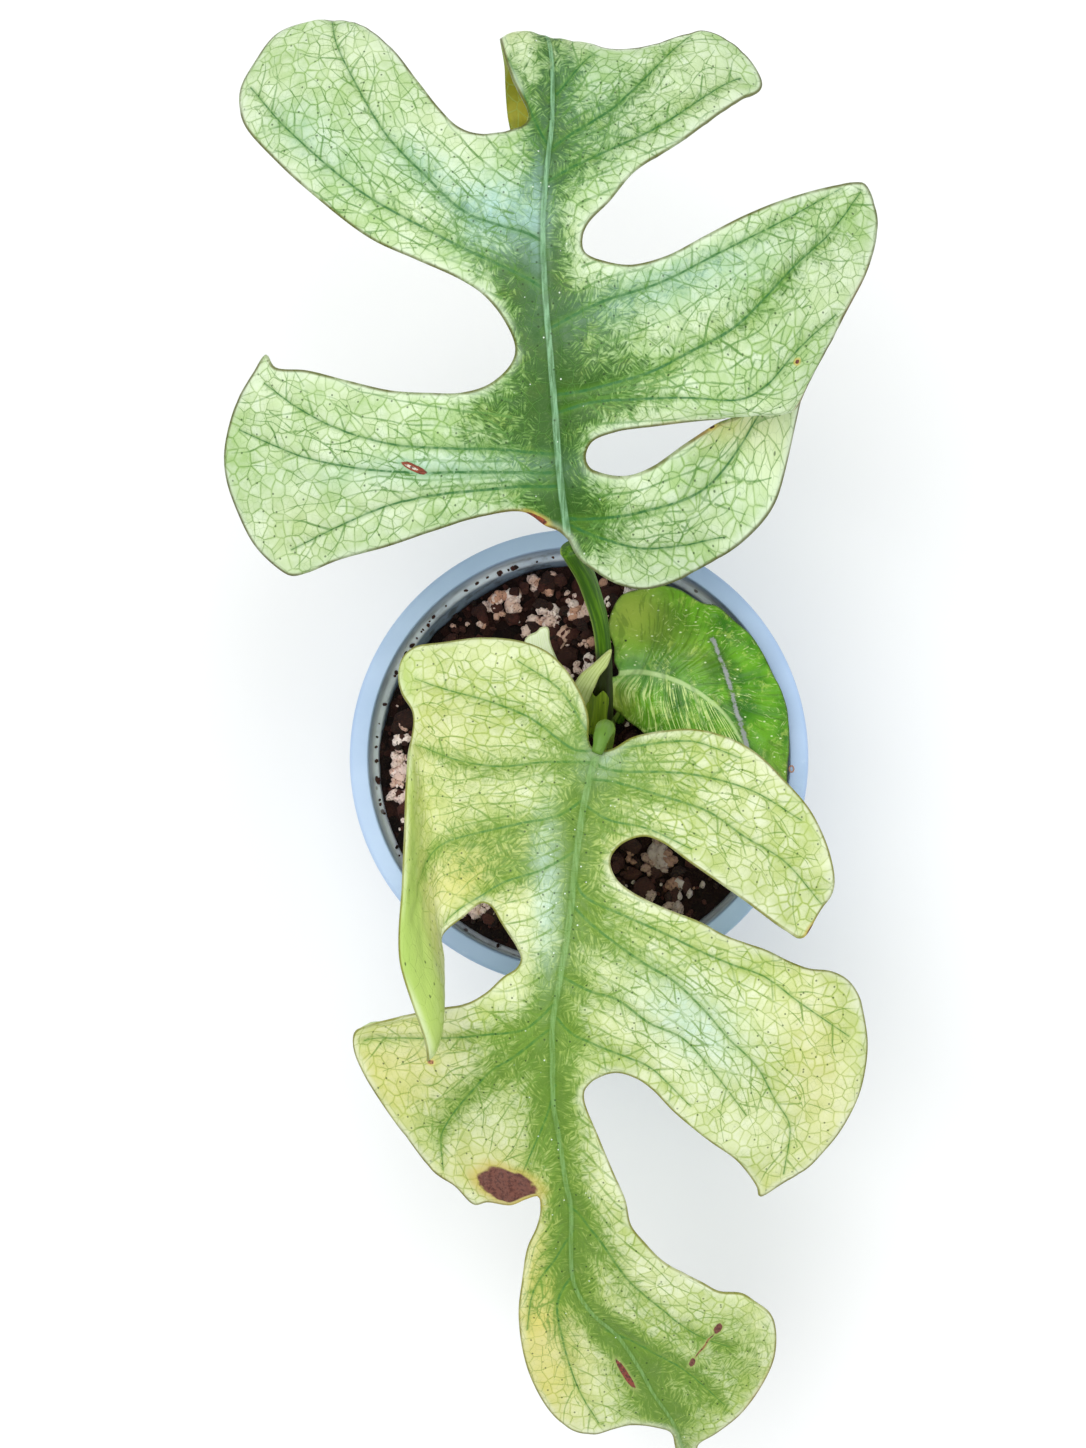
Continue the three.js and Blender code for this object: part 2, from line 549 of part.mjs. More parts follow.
// A blade: the same triangles on both faces, grooved along the veins and ribbed underneath
function blade(leaf, latticeStep, ribDepth = RIB_DEPTH) {
  const surface = plateThrough(leaf.landmarks);
  const { points, triangles } = pressedMesh(leaf, latticeStep);
  const upper = [];
  const lower = [];
  for (const [x, y] of points) {
    const place = surface(x, y);
    const alongX = surface(x + TANGENT_REACH, y).sub(surface(x - TANGENT_REACH, y));
    const alongY = surface(x, y + TANGENT_REACH).sub(surface(x, y - TANGENT_REACH));
    const normal = alongX.cross(alongY).normalize();
    const toMidrib = distanceToLine([x, y], leaf.midrib);
    const toVein = Math.min(...leaf.veins.map((vein) => distanceToLine([x, y], vein)), toMidrib);
    const groove = VEIN_GROOVE * Math.exp(-((toVein / VEIN_WIDTH) ** 2));
    const rib = ribDepth * Math.exp(-((toMidrib / RIB_WIDTH) ** 2));
    upper.push(place.clone().addScaledVector(normal, BLADE_THICKNESS / 2 - groove));
    lower.push(place.clone().addScaledVector(normal, -BLADE_THICKNESS / 2 - groove - rib));
  }
  const n = points.length;
  const faces = [];
  const open = new Map();
  for (const [a, b, c] of triangles) {
    const [pa, pb, pc] = [points[a], points[b], points[c]];
    const turn = (pb[0] - pa[0]) * (pc[1] - pa[1]) - (pb[1] - pa[1]) * (pc[0] - pa[0]);
    const corners = turn > 0 ? [a, b, c] : [a, c, b];
    faces.push(corners, corners.map((i) => i + n).reverse());
    corners.forEach((from, i) => {
      const to = corners[(i + 1) % 3];
      if (!open.delete(`${to},${from}`)) open.set(`${from},${to}`, [from, to]);
    });
  }
  for (const [from, to] of open.values()) faces.push([from, from + n, to + n], [from, to + n, to]);
  const geometry = new THREE.BufferGeometry().setFromPoints([...upper, ...lower]);
  geometry.setIndex(faces.flat());
  geometry.computeVertexNormals();
  return geometry;
}

// The pot

const rimRadius = RIM_DIAMETER / 2;
const mouthRadius = rimRadius - FLANGE_WIDTH;
const baseRadius = BASE_DIAMETER / 2;
const wallTopRadius = mouthRadius - LEDGE_WIDTH;
const wallTop = POT_HEIGHT - LEDGE_DEPTH;

// Radius of the inner wall at a height below the ledge
function innerRadius(z) {
  return THREE.MathUtils.mapLinear(z, POT_FLOOR, wallTop, baseRadius - POT_WALL, wallTopRadius);
}

function potGeometry() {
  const lipRadius = rimRadius - POT_WALL;
  const flangeUnderside = POT_HEIGHT - FLANGE_THICKNESS;
  const lipBottom = POT_HEIGHT - LIP_DEPTH;
  const profile = [
    [0, 0],
    [baseRadius - BASE_CHAMFER, 0],
    [baseRadius, BASE_CHAMFER],
    [wallTopRadius + POT_WALL, wallTop - LEDGE_CHAMFER],
    [mouthRadius + POT_WALL, wallTop + LEDGE_CHAMFER],
    [mouthRadius + POT_WALL, flangeUnderside],
    [lipRadius, flangeUnderside],
    [lipRadius, lipBottom],
    [rimRadius - LIP_CHAMFER, lipBottom],
    [rimRadius, lipBottom + LIP_CHAMFER],
    [rimRadius, POT_HEIGHT - RIM_CHAMFER],
    [rimRadius - RIM_CHAMFER, POT_HEIGHT],
    [mouthRadius + MOUTH_CHAMFER, POT_HEIGHT],
    [mouthRadius, POT_HEIGHT - MOUTH_CHAMFER],
    [mouthRadius, wallTop + LEDGE_CHAMFER],
    [wallTopRadius, wallTop],
    [innerRadius(POT_FLOOR), POT_FLOOR],
    [0, POT_FLOOR],
  ];
  const drillLength = POT_FLOOR + 2 * DRILL_OVERRUN;
  let pot = toManifold(lathe(profile, POT_SIDES));
  for (let i = 0; i < DRAIN_HOLES; i += 1) {
    const angle = (2 * Math.PI * i) / DRAIN_HOLES;
    const x = (DRAIN_CIRCLE_DIAMETER / 2) * Math.cos(angle);
    const y = (DRAIN_CIRCLE_DIAMETER / 2) * Math.sin(angle);
    const drill = uprightCylinder(DRAIN_DIAMETER, drillLength, -DRILL_OVERRUN, x, y);
    pot = pot.subtract(toManifold(drill));
  }
  return fromManifold(pot);
}

// The substrate: a mound with fused grit and bark, lower at the back, with plain holes for stems

function soilHeight(x, y) {
  const broad = Math.sin(BROAD_WAVE.alongX * x + BROAD_WAVE.startX)
    * Math.cos(BROAD_WAVE.alongY * y + BROAD_WAVE.startY);
  const narrow = Math.sin(NARROW_WAVE.alongX * x + NARROW_WAVE.alongY * y);
  const toHollow = Math.hypot(x - SOIL_HOLLOW[0], y - SOIL_HOLLOW[1]);
  const hollow = SOIL_HOLLOW_DEPTH * Math.exp(-((toHollow / SOIL_HOLLOW_WIDTH) ** 2));
  return SOIL_LEVEL - SOIL_SLOPE * y + SOIL_LUMP * (broad + NARROW_WAVE.share * narrow) - hollow;
}

// Rings of points from the middle out to the wall, then down the wall and in to the middle below
function soilBody() {
  const wallGap = (z) => innerRadius(Math.min(z, wallTop)) - GAP;
  const heightAt = (radius, angle) => {
    const z = soilHeight(radius * Math.cos(angle), radius * Math.sin(angle));
    return Math.min(z, POT_HEIGHT - SOIL_TO_RIM);
  };
  const rings = [];
  for (let k = 1; k <= SOIL_RINGS; k += 1) {
    const radius = (wallGap(wallTop) * k) / SOIL_RINGS;
    rings.push((angle) => {
      const z = heightAt(radius, angle);
      return [Math.min(radius, wallGap(z)), z];
    });
  }
  const soilBottom = POT_FLOOR + GAP;
  const wallFoot = SOIL_LEVEL - SOIL_SKIRT;
  rings.push(() => [wallGap(wallFoot), wallFoot], () => [wallGap(soilBottom), soilBottom]);

  const vertices = [new THREE.Vector3(0, 0, soilHeight(0, 0))];
  for (const ring of rings) {
    for (let i = 0; i < SOIL_SIDES; i += 1) {
      const angle = (2 * Math.PI * i) / SOIL_SIDES;
      const [radius, z] = ring(angle);
      vertices.push(new THREE.Vector3(radius * Math.cos(angle), radius * Math.sin(angle), z));
    }
  }
  const bottom = vertices.length;
  vertices.push(new THREE.Vector3(0, 0, soilBottom));

  const faces = [];
  const at = (k, i) => 1 + k * SOIL_SIDES + (i % SOIL_SIDES);
  for (let i = 0; i < SOIL_SIDES; i += 1) {
    faces.push(0, at(0, i), at(0, i + 1));
    for (let k = 1; k < rings.length; k += 1) {
      faces.push(at(k - 1, i), at(k, i), at(k, i + 1));
      faces.push(at(k - 1, i), at(k, i + 1), at(k - 1, i + 1));
    }
    faces.push(at(rings.length - 1, i), bottom, at(rings.length - 1, i + 1));
  }
  const geometry = new THREE.BufferGeometry().setFromPoints(vertices);
  geometry.setIndex(faces);
  return geometry;
}

// One rough bit: a twenty-sided solid, swollen unevenly, flattened and turned
function bit(random, { sizes, flatness }) {
  const bare = new THREE.IcosahedronGeometry(1, 0).deleteAttribute('uv').deleteAttribute('normal');
  const geometry = mergeVertices(bare);
  const position = geometry.attributes.position;
  const vertex = new THREE.Vector3();
  for (let i = 0; i < position.count; i += 1) {
    vertex.fromBufferAttribute(position, i).multiplyScalar(between(random, GRIT_SWELL));
    position.setXYZ(i, vertex.x, vertex.y, vertex.z);
  }
  const size = between(random, sizes) / 2;
  geometry.scale(size, size * between(random, GRIT_BREADTH), size * flatness);
  geometry.rotateX(between(random, GRIT_TILT));
  geometry.rotateZ(between(random, [0, Math.PI]));
  return geometry;
}

function soilGeometry() {
  const random = seededRandom(GRIT_SEED);
  let soil = toManifold(soilBody());
  for (const kind of [PUMICE, BARK]) {
    const halfSize = kind.sizes[1] / 2;
    const reach = innerRadius(wallTop) - halfSize - GRIT_ROOM;
    for (let k = 0; k < kind.count; k += 1) {
      const radius = reach * Math.sqrt(random());
      const angle = between(random, [0, 2 * Math.PI]);
      const [x, y] = [radius * Math.cos(angle), radius * Math.sin(angle)];
      const piece = bit(random, kind);
      const toStem = Math.hypot(x - STEM_FOOT[0], y - STEM_FOOT[1]);
      if (toStem < STEM_HOLE_DIAMETER / 2 + halfSize + GRIT_ROOM) continue;
      piece.translate(x, y, soilHeight(x, y));
      soil = soil.add(toManifold(piece));
    }
  }
  const hole = uprightCylinder(STEM_HOLE_DIAMETER, POT_HEIGHT, STEM_HOLE_BOTTOM, ...STEM_FOOT);
  return fromManifold(largestShell(soil.subtract(toManifold(hole))));
}

// The plant's stem and stalks

const STEM_PATH = [
  [...STEM_FOOT, STEM_HOLE_BOTTOM + GAP], [...STEM_FOOT, 80], [...STEM_FOOT, 98], [5.8, 8.6, 108],
  [6, 10, 114.5],
];
const STEM_RADII = [3.5, 3.5, 3.5, 3.5, 3.6, 3.5, 3.4, 3.9, 3.3, 3.2];

const PETIOLE_1_PATH = [
  [6.1, 10.35, 115.4], [6.4, 12.4, 120.5], [6.9, 17.5, 128], [6.8, 25, 135], [6, 31.7, 142],
  [4.2, 37.6, 149.5], [2.2, 42.4, 156.5], [-1, 46.7, 165.2],
];
const PETIOLE_1_RADII = [3.1, 2.6, 2.1, 2, 2, 2.2, 2.3, 2.5, 2.4];

const PETIOLE_2_PATH = [
  [6.3, 1.7, 102], [6.8, 1.6, 108], [7.1, 2.2, 117], [7.3, 3.8, 130], [7.3, 5.2, 141],
  [6.9, 4.9, 147.2], [6.3, 3.9, 149.3], [6.1, 2.9, 149.8],
];
const PETIOLE_2_RADII = [2.2, 2, 1.9, 1.9, 2, 2.2, 2.6, 2.7, 2.3];

const PETIOLE_3_PATH = [[10.6, 10.2, 97.5], [12.5, 14, 103], [12.3, 18, 107.3], [11.2, 20.4, 108.9]];
const PETIOLE_3_RADII = [1.5, 1.2, 1.1, 1.2];

// Assembly

const plant = new THREE.Group();

function addPiece(name, geometry, [color, roughness]) {
  const material = new THREE.MeshStandardMaterial({ color, roughness, metalness: 0 });
  const mesh = new THREE.Mesh(geometry, material);
  mesh.name = name;
  plant.add(mesh);
}

const petiole1 = stalk(PETIOLE_1_PATH, PETIOLE_1_RADII, STALK_SIDES, STALK_STEPS);
const petiole2 = stalk(PETIOLE_2_PATH, PETIOLE_2_RADII, STALK_SIDES, STALK_STEPS);
const petiole3 = stalk(PETIOLE_3_PATH, PETIOLE_3_RADII, SMALL_STALK_SIDES, SMALL_STALK_STEPS);

addPiece('pot', potGeometry(), LOOKS.pot);
addPiece('soil', soilGeometry(), LOOKS.soil);
addPiece('stem', stalk(STEM_PATH, STEM_RADII, STEM_SIDES, STALK_STEPS), LOOKS.stem);
addPiece('petiole_1', petiole1, LOOKS.stalk);
addPiece('petiole_2', petiole2, LOOKS.stalk);
addPiece('petiole_3', petiole3, LOOKS.stalk);
addPiece('leaf_1', blade(LEAF_1, LATTICE_STEP), LOOKS.leaf);
addPiece('leaf_2', blade(LEAF_2, LATTICE_STEP), LOOKS.leaf);
addPiece('leaf_3', blade(LEAF_3, SMALL_LATTICE_STEP), LOOKS.youngLeaf);
addPiece('spear', blade(SPEAR, SHEATH_STEP, SHEATH_RIB_DEPTH), LOOKS.spear);
addPiece('old_sheath', blade(OLD_SHEATH, SHEATH_STEP, SHEATH_RIB_DEPTH), LOOKS.oldSheath);

export default plant;
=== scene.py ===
"""The potted variegated mini monstera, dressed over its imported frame. Lengths below are in mm."""

import math

import bpy
import numpy as np
from mathutils import Matrix, Vector, noise
from mathutils.geometry import delaunay_2d_cdt
from mathutils.kdtree import KDTree


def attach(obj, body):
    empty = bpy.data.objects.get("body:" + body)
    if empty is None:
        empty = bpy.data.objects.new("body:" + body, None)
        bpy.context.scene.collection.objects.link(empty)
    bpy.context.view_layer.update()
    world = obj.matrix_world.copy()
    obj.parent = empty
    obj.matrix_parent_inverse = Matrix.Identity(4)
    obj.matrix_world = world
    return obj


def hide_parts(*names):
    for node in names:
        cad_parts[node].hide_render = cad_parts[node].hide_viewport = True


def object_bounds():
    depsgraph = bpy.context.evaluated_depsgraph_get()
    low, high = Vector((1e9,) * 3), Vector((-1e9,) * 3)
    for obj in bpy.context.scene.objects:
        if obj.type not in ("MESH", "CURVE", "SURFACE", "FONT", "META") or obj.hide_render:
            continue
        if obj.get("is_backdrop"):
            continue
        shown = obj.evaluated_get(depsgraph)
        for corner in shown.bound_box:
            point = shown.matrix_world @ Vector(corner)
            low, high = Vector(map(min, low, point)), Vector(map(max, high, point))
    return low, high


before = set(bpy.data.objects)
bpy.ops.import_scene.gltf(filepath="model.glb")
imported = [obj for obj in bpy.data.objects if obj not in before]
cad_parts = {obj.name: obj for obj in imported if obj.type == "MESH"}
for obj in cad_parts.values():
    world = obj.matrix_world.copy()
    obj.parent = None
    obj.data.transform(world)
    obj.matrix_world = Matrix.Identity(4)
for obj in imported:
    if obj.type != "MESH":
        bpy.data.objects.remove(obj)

cad_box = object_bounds()

MM = 0.001

# A mesh point nearer than this to a midrib or vein counts as lying on it
LINE_ROOM = 0.2
# How far every place of a blade without veins is said to be from one
FAR = 60.0

# A leaf as it lies pressed flat in the pot's plan. Veins run from the midrib outwards, in order
# from the leaf's base to its tip. A landmark gives a pressed place its height, (x, y, z), and
# where the blade is bent sideways, the place that it is bent to, (x, y, z, bent x, bent y).

LEAF_1 = {
    "outline": [
        (-1.5, 48.5), (-4, 50.5), (-6.5, 51.5), (-11.5, 54.5), (-21, 53.5), (-33, 50.5),
        (-44, 47.5), (-56.5, 45), (-64.5, 42.5), (-68.5, 42), (-72, 44), (-77.5, 49.5),
        (-81.5, 57.5), (-84, 65.5), (-84, 72), (-80.5, 82), (-75.5, 89), (-72.5, 92.5),
        (-70.5, 89.5), (-62.5, 88), (-53, 85), (-41.5, 81.5), (-32, 80.5), (-25.5, 80.5),
        (-19, 82.5), (-14, 87), (-13, 90.5), (-15.5, 96.5), (-20, 102), (-25, 105.5), (-36, 111),
        (-46.5, 116.5), (-59.5, 127), (-69, 136), (-77.5, 146.5), (-79.5, 152.5), (-79.5, 158),
        (-76.5, 164), (-71, 172.5), (-64, 175.5), (-61, 176.5), (-52, 173.5), (-44, 166),
        (-37, 156.5), (-30.5, 147), (-26, 142), (-21.5, 140), (-14.5, 140.5), (-10.5, 142.5),
        (-10, 145.5), (-13.5, 153.5), (-15.5, 159.5), (-17, 165), (-18.5, 172), (-19, 182),
        (-17, 192), (-13, 199), (-8, 193), (-3, 184), (1, 175), (3, 168), (6.5, 165), (16, 166.5),
        (27.5, 170), (32, 171.5), (37.5, 170), (42.5, 165.5), (45, 160), (44.5, 156.5), (40, 152.5),
        (31.5, 145), (23.5, 138.5), (14.5, 131.5), (8.5, 123.5), (4, 118.5), (2.5, 115), (3, 111.5),
        (8, 109.5), (13.5, 109), (21.5, 111.5), (31, 117), (40.5, 122.5), (53.5, 128.5),
        (66.5, 133), (69, 133), (72, 126.5), (72, 121.5), (69.5, 112), (64, 101.5), (56, 87),
        (52.8, 81), (50, 77.5), (41.5, 76.5), (34, 75), (19, 73), (10, 71.5), (4.5, 69.5),
        (3, 66.5), (4, 64), (8.5, 62.5), (13, 62.5), (19, 64.5), (26, 68), (34, 70.5), (43, 71),
        (51, 71.5), (55.5, 74), (54.8, 71), (52.3, 66), (48.5, 60), (42, 53), (36, 47.5),
        (27.5, 41.5), (21.5, 39), (16, 38), (10, 39), (5, 41.5), (1, 44.5),
    ],
    "midrib": [
        (-1.5, 49.5), (-3, 62), (-4, 75.5), (-5, 89), (-6, 101), (-6.5, 118), (-5.5, 133),
        (-4.5, 143.5), (-5, 161), (-8, 176), (-12, 194),
    ],
    "left": [
        [(-3, 60), (-12, 60), (-22, 59), (-33, 58), (-44, 56), (-57, 52), (-68, 48)],
        [(-4, 63), (-18, 63), (-37, 63), (-52, 65), (-63, 68), (-72, 72), (-80, 76)],
        [(-4, 67), (-17, 68), (-28, 68), (-40, 69), (-53, 73), (-64, 79), (-73, 86)],
        [(-6, 103), (-9, 105), (-25, 113), (-37, 120), (-48, 127), (-59, 136), (-69, 146),
         (-77, 157)],
        [(-6, 111), (-7, 114), (-24, 121), (-35, 132), (-43, 141), (-50, 152), (-56, 164),
         (-58, 175)],
        [(-5, 136), (-8, 142), (-11, 150), (-15, 160)],
    ],
    "right": [
        [(-2, 52), (6, 49), (16, 47), (27, 48), (36, 51)],
        [(-2, 53), (3, 53), (12, 54), (21, 56), (31, 59), (38, 64), (44, 70), (50, 75)],
        [(-4, 76), (4, 78), (15, 79), (27, 81), (38, 84), (44, 88), (51, 94), (62, 102)],
        [(-4, 80), (4, 81), (17, 85), (27, 91), (36, 97), (47, 107), (53, 113), (60, 120),
         (68, 131)],
        [(-6, 94), (6, 100), (20, 105), (34, 113), (48, 121), (63, 131)],
        [(-6, 128), (6, 135), (22, 145), (40, 159)],
        [(-5, 136), (0, 140), (9, 147), (16, 155), (22, 162), (28, 169)],
        [(-5, 149), (-1, 154), (4, 161)],
    ],
    "landmarks": [
        (-1.5, 51, 170), (-4.5, 75.5, 181), (-6, 101, 188), (-6.5, 118, 190), (-5, 138, 187),
        (-4.5, 157, 180), (-21, 53.5, 173), (-33, 50.5, 170), (-56.5, 45, 160), (-70, 43, 154),
        (-83.5, 67, 158), (-79.5, 82, 165), (-53, 85, 177), (-33, 67.5, 181), (-57, 67, 173),
        (-15.5, 85, 184), (-36, 111, 186), (-59.5, 127, 181), (-79, 154.5, 168), (-71, 172.5, 163),
        (-52, 173, 167), (-37, 156.5, 177), (-21.5, 140, 186), (-40, 137.5, 183), (-16, 160, 179),
        (6.5, 160, 177), (30, 171, 165), (44, 161.5, 161), (23.5, 138.5, 180), (18, 153, 176),
        (6.5, 121.5, 188), (21.5, 111.5, 185), (40.5, 122.5, 180), (67.5, 132.5, 168),
        (72, 123, 163), (60.5, 94.5, 167), (51.5, 78.5, 172), (34, 75, 179), (10, 71.5, 182),
        (29.5, 97.5, 181), (48, 110.5, 176), (19, 64.5, 177), (34, 70.5, 172, 34, 75),
        (43, 71, 169, 44, 80), (51, 71.5, 166, 51.5, 83.5), (55.5, 74, 164, 54.6, 86),
        (42, 76.4, 176), (56.5, 87.5, 169.5), (48.5, 60, 160), (30, 43, 157), (16, 38, 158),
        (5, 41.5, 165), (25, 57, 172), (-17, 168, 174, -16.5, 166.5), (-8, 170, 174, -8, 167.5),
        (4, 168, 172, 5, 165.5), (-18.5, 177, 166, -16, 162.5), (0.5, 177, 165, 1, 162),
        (-19, 187, 161, -16.8, 155.5), (-6, 187, 161, -6, 154), (-13, 199, 158, -13, 145),
    ],
}

LEAF_2 = {
    "outline": [
        (8, 0), (14, 3), (21, 4.5), (28, 5), (35.5, 3.5), (43.5, -0.5), (51, -7.5), (57.5, -15),
        (62.5, -26), (63.5, -34), (60, -40), (56, -46), (51.5, -44), (41, -36.5), (28, -27.5),
        (21, -22.5), (16.5, -21), (11, -23), (8.5, -26.5), (9.5, -30.5), (12.5, -33.5), (20, -37.5),
        (30, -41.5), (36.5, -45), (46, -48.5), (56, -53), (62.5, -54), (66.5, -56), (69.5, -60),
        (71, -65.5), (72, -72), (71.5, -79.5), (70, -86), (66, -94.5), (62, -100), (58, -104.5),
        (52, -108.5), (46, -112), (45.5, -110), (43.5, -106.5), (39.5, -101.5), (32.5, -96),
        (24, -88.5), (18.5, -82.5), (14.5, -79.5), (10, -78), (5.5, -79), (2.5, -81.5), (2, -84),
        (5.5, -94), (9, -103), (12, -110.5), (13.5, -117.5), (17, -122.5), (22, -128), (32, -134.5),
        (36, -137), (42, -138), (45.5, -140.5), (49.5, -144), (51, -148), (51, -156.5),
        (48, -164.5), (42.5, -173), (36, -179), (31.5, -182.5), (31.5, -188), (29.5, -194.5),
        (27, -191.5), (25.5, -184.5), (24, -178.5), (19.5, -176), (13.5, -175), (9, -176),
        (4, -177.5), (-1, -176.5), (-4.5, -174), (-8.5, -169), (-12.5, -160), (-14.5, -150.5),
        (-15, -140.5), (-14, -132.5), (-12.5, -123.5), (-10, -117.5), (-9, -113), (-9.5, -109.5),
        (-12.5, -110.5), (-16.5, -112.5), (-22.5, -112.5), (-26, -113.5), (-31, -109), (-36, -106),
        (-43, -97), (-48, -89.5), (-52, -80.5), (-53.8, -73), (-53.8, -68.5), (-52.5, -67),
        (-48.5, -65.5), (-42.5, -64), (-32, -62.5), (-26.5, -61.5), (-21.5, -58.5), (-17, -54.5),
        (-14, -52.5), (-13, -50), (-14, -47.5), (-17.5, -42), (-20.5, -37.5), (-22.5, -37),
        (-27, -41.5), (-32, -45), (-38, -48), (-46, -50.5), (-55, -52), (-63, -51), (-63, -45),
        (-61, -36), (-57, -26), (-52, -14), (-46, -4), (-40, 4), (-39.5, 9.5), (-43, 14),
        (-44.5, 18), (-43.5, 23), (-40, 26), (-32.5, 27), (-23.5, 28), (-14, 27), (-7.5, 24.5),
        (-3, 20.5), (1.5, 13.5), (3.2, 8), (3.8, 1),
    ],
    "midrib": [
        (6, 1), (5, -1.5), (2.5, -11.5), (0.5, -24.5), (-1, -38), (-3.5, -54.5), (-5.5, -66),
        (-5.5, -74.5), (-5.5, -86), (-4, -95), (-2.5, -106.5), (-1.5, -111.5), (-1, -133),
        (3, -141), (10.5, -149.5), (15.5, -158), (19, -165.5), (24.5, -175), (29, -190),
    ],
    "left": [
        [(6, 1), (2, 6), (-4, 15), (-14, 22)],
        [(6, 0), (0, 0), (-11, 8), (-20, 12), (-30, 15), (-39, 18)],
        [(5, -3), (-7, -3), (-18, -4), (-26, -3), (-38, 1)],
        [(2, -12), (-4, -16), (-13, -18), (-24, -21), (-31, -23), (-40, -27), (-52, -32)],
        [(1, -24), (-8, -29), (-17, -32), (-25, -37), (-31, -42)],
        [(-5, -61), (-12, -67), (-22, -69), (-32, -71), (-50, -74)],
        [(-6, -67), (-15, -74), (-21, -78), (-27, -85), (-32, -92), (-34, -96), (-34, -105)],
        [(-5, -81), (-7, -88), (-11, -98), (-15, -108)],
        [(-1, -119), (-6, -127), (-11, -135), (-13, -146)],
        [(-1, -131), (-5, -138), (-4, -149), (0, -164), (5, -174)],
    ],
    "right": [
        [(7, 0), (16, 1), (28, 2), (40, -2)],
        [(6, -4), (9, -5), (28, -6), (43, -10), (55, -17)],
        [(4, -7), (10, -8), (20, -11), (32, -15), (41, -21), (51, -27), (61, -38)],
        [(2, -13), (8, -17), (17, -19), (28, -24)],
        [(0, -31), (2, -35), (12, -40), (21, -44), (31, -49), (38, -52), (46, -55), (54, -61),
         (67, -70)],
        [(-1, -37), (4, -42), (16, -51), (24, -56), (32, -64), (37, -70), (44, -77), (49, -86),
         (53, -93), (52, -106)],
        [(-4, -54), (4, -58), (10, -60), (18, -66), (26, -70), (34, -79), (42, -90)],
        [(-5, -64), (-1, -68), (5, -71), (12, -74), (18, -77), (28, -87)],
        [(-2, -112), (1, -115), (6, -122), (13, -133), (21, -141), (30, -149), (39, -153)],
        [(7, -147), (18, -153), (29, -161), (38, -170)],
    ],
    "landmarks": [
        (6, 1, 150), (2.5, -11.5, 153), (0, -29, 155.5), (-3.5, -54.5, 154.5), (-5.5, -74.5, 150),
        (-4, -95, 142), (-1.5, -111.5, 133), (-1, -133, 120), (10.5, -149.5, 108), (19, -165, 96),
        (29, -188, 76), (28, 5, 149), (51, -7.5, 145), (63, -29, 137), (56.5, -46, 132),
        (41, -37, 142), (28, -27.5, 150), (11, -23, 154), (30, -12, 151), (9.5, -30.5, 154),
        (30, -41.5, 150), (56, -53, 140), (71.5, -68.5, 131), (68.5, -90.5, 123), (58, -104.5, 117),
        (46, -111.5, 115), (32.5, -96, 130), (15.5, -80, 143), (2.5, -82.5, 147), (35, -68, 142),
        (5.5, -94, 141), (12, -110.5, 132), (22, -128, 119), (42, -138, 106), (51, -150.5, 97),
        (42.5, -173, 87), (32, -182, 82), (-9, -113, 132), (-15, -137.5, 119), (-11.5, -162.5, 102),
        (-1, -176.5, 93), (16, -175.5, 91), (-13.5, -49.5, 152), (-21.5, -58.5, 150),
        (-32, -62.5, 145), (-54.5, -69, 133), (-48, -89.5, 124), (-35, -106.5, 119),
        (-22.5, -113, 123), (-26, -80.5, 139), (-3, 20.5, 147), (-23.5, 28, 141), (-43, 23, 137),
        (-40, 4, 145), (-36.5, -12, 149), (-33, -30, 151.5), (-32, -45, 151), (-22.5, -37, 153),
        (-18, -7.5, 152), (-46, -4, 152, -40.5, -4), (-52, -14, 158, -40.5, -19),
        (-57, -26, 165, -40.5, -34), (-61, -36, 168, -40.5, -51), (-63, -50, 160, -34.5, -73.5),
        (-55, -52, 156, -32.5, -67), (-46, -50.5, 153, -32, -59), (-38, -48, 151.5, -32, -51),
        (-46, -30, 160, -37, -35),
    ],
}

LEAF_3 = {
    "outline": [
        (10.5, 21), (9.5, 24.5), (9.5, 28), (8, 33.5), (9, 38), (11.5, 42), (16, 43.5), (20, 44.5),
        (23.5, 44), (26.5, 43), (32, 39.5), (36, 38.5), (40.5, 34.5), (44.5, 31), (47.5, 26.5),
        (50, 21.5), (52.5, 16.5), (54, 11.5), (54.5, 2.5), (54, -3), (53.5, -9), (51.5, -13),
        (47, -14.5), (40.5, -13), (33, -9), (24.5, -2.5), (17, 6), (12.5, 9.5), (7.5, 14.5),
        (5.5, 19), (6.5, 20),
    ],
    "midrib": [
        (10.5, 21.3), (16.5, 21.5), (25.5, 19), (33, 14.5), (38, 10), (42.5, 3), (48, -4.5),
        (52, -11),
    ],
    "left": [
        [(16, 21), (20, 30), (21, 40)],
        [(24, 21), (31, 27), (35, 35)],
        [(31, 18), (42, 19), (51, 21)],
        [(37, 14), (45, 11), (53, 9)],
    ],
    "right": [
        [(15, 22), (11, 17), (12, 11)],
        [(22, 21), (23, 12), (28, -2)],
        [(29, 19), (33, 6), (39, -10)],
        [(35, 15), (43, 3), (47, -11)],
    ],
    "landmarks": [
        (10.5, 21, 112.5), (19, 21.5, 115), (29, 19, 117), (38.5, 12, 117), (46.5, 0, 115),
        (52.5, -11.5, 111), (9.5, 37, 109), (19, 44, 110), (32, 39.5, 113), (44.5, 31, 114),
        (53.5, 13, 112), (54.5, -1, 110), (7, 17, 111), (17, 6, 112), (31.5, -7.5, 111),
        (29, 5, 116), (43, -13.5, 109),
    ],
}

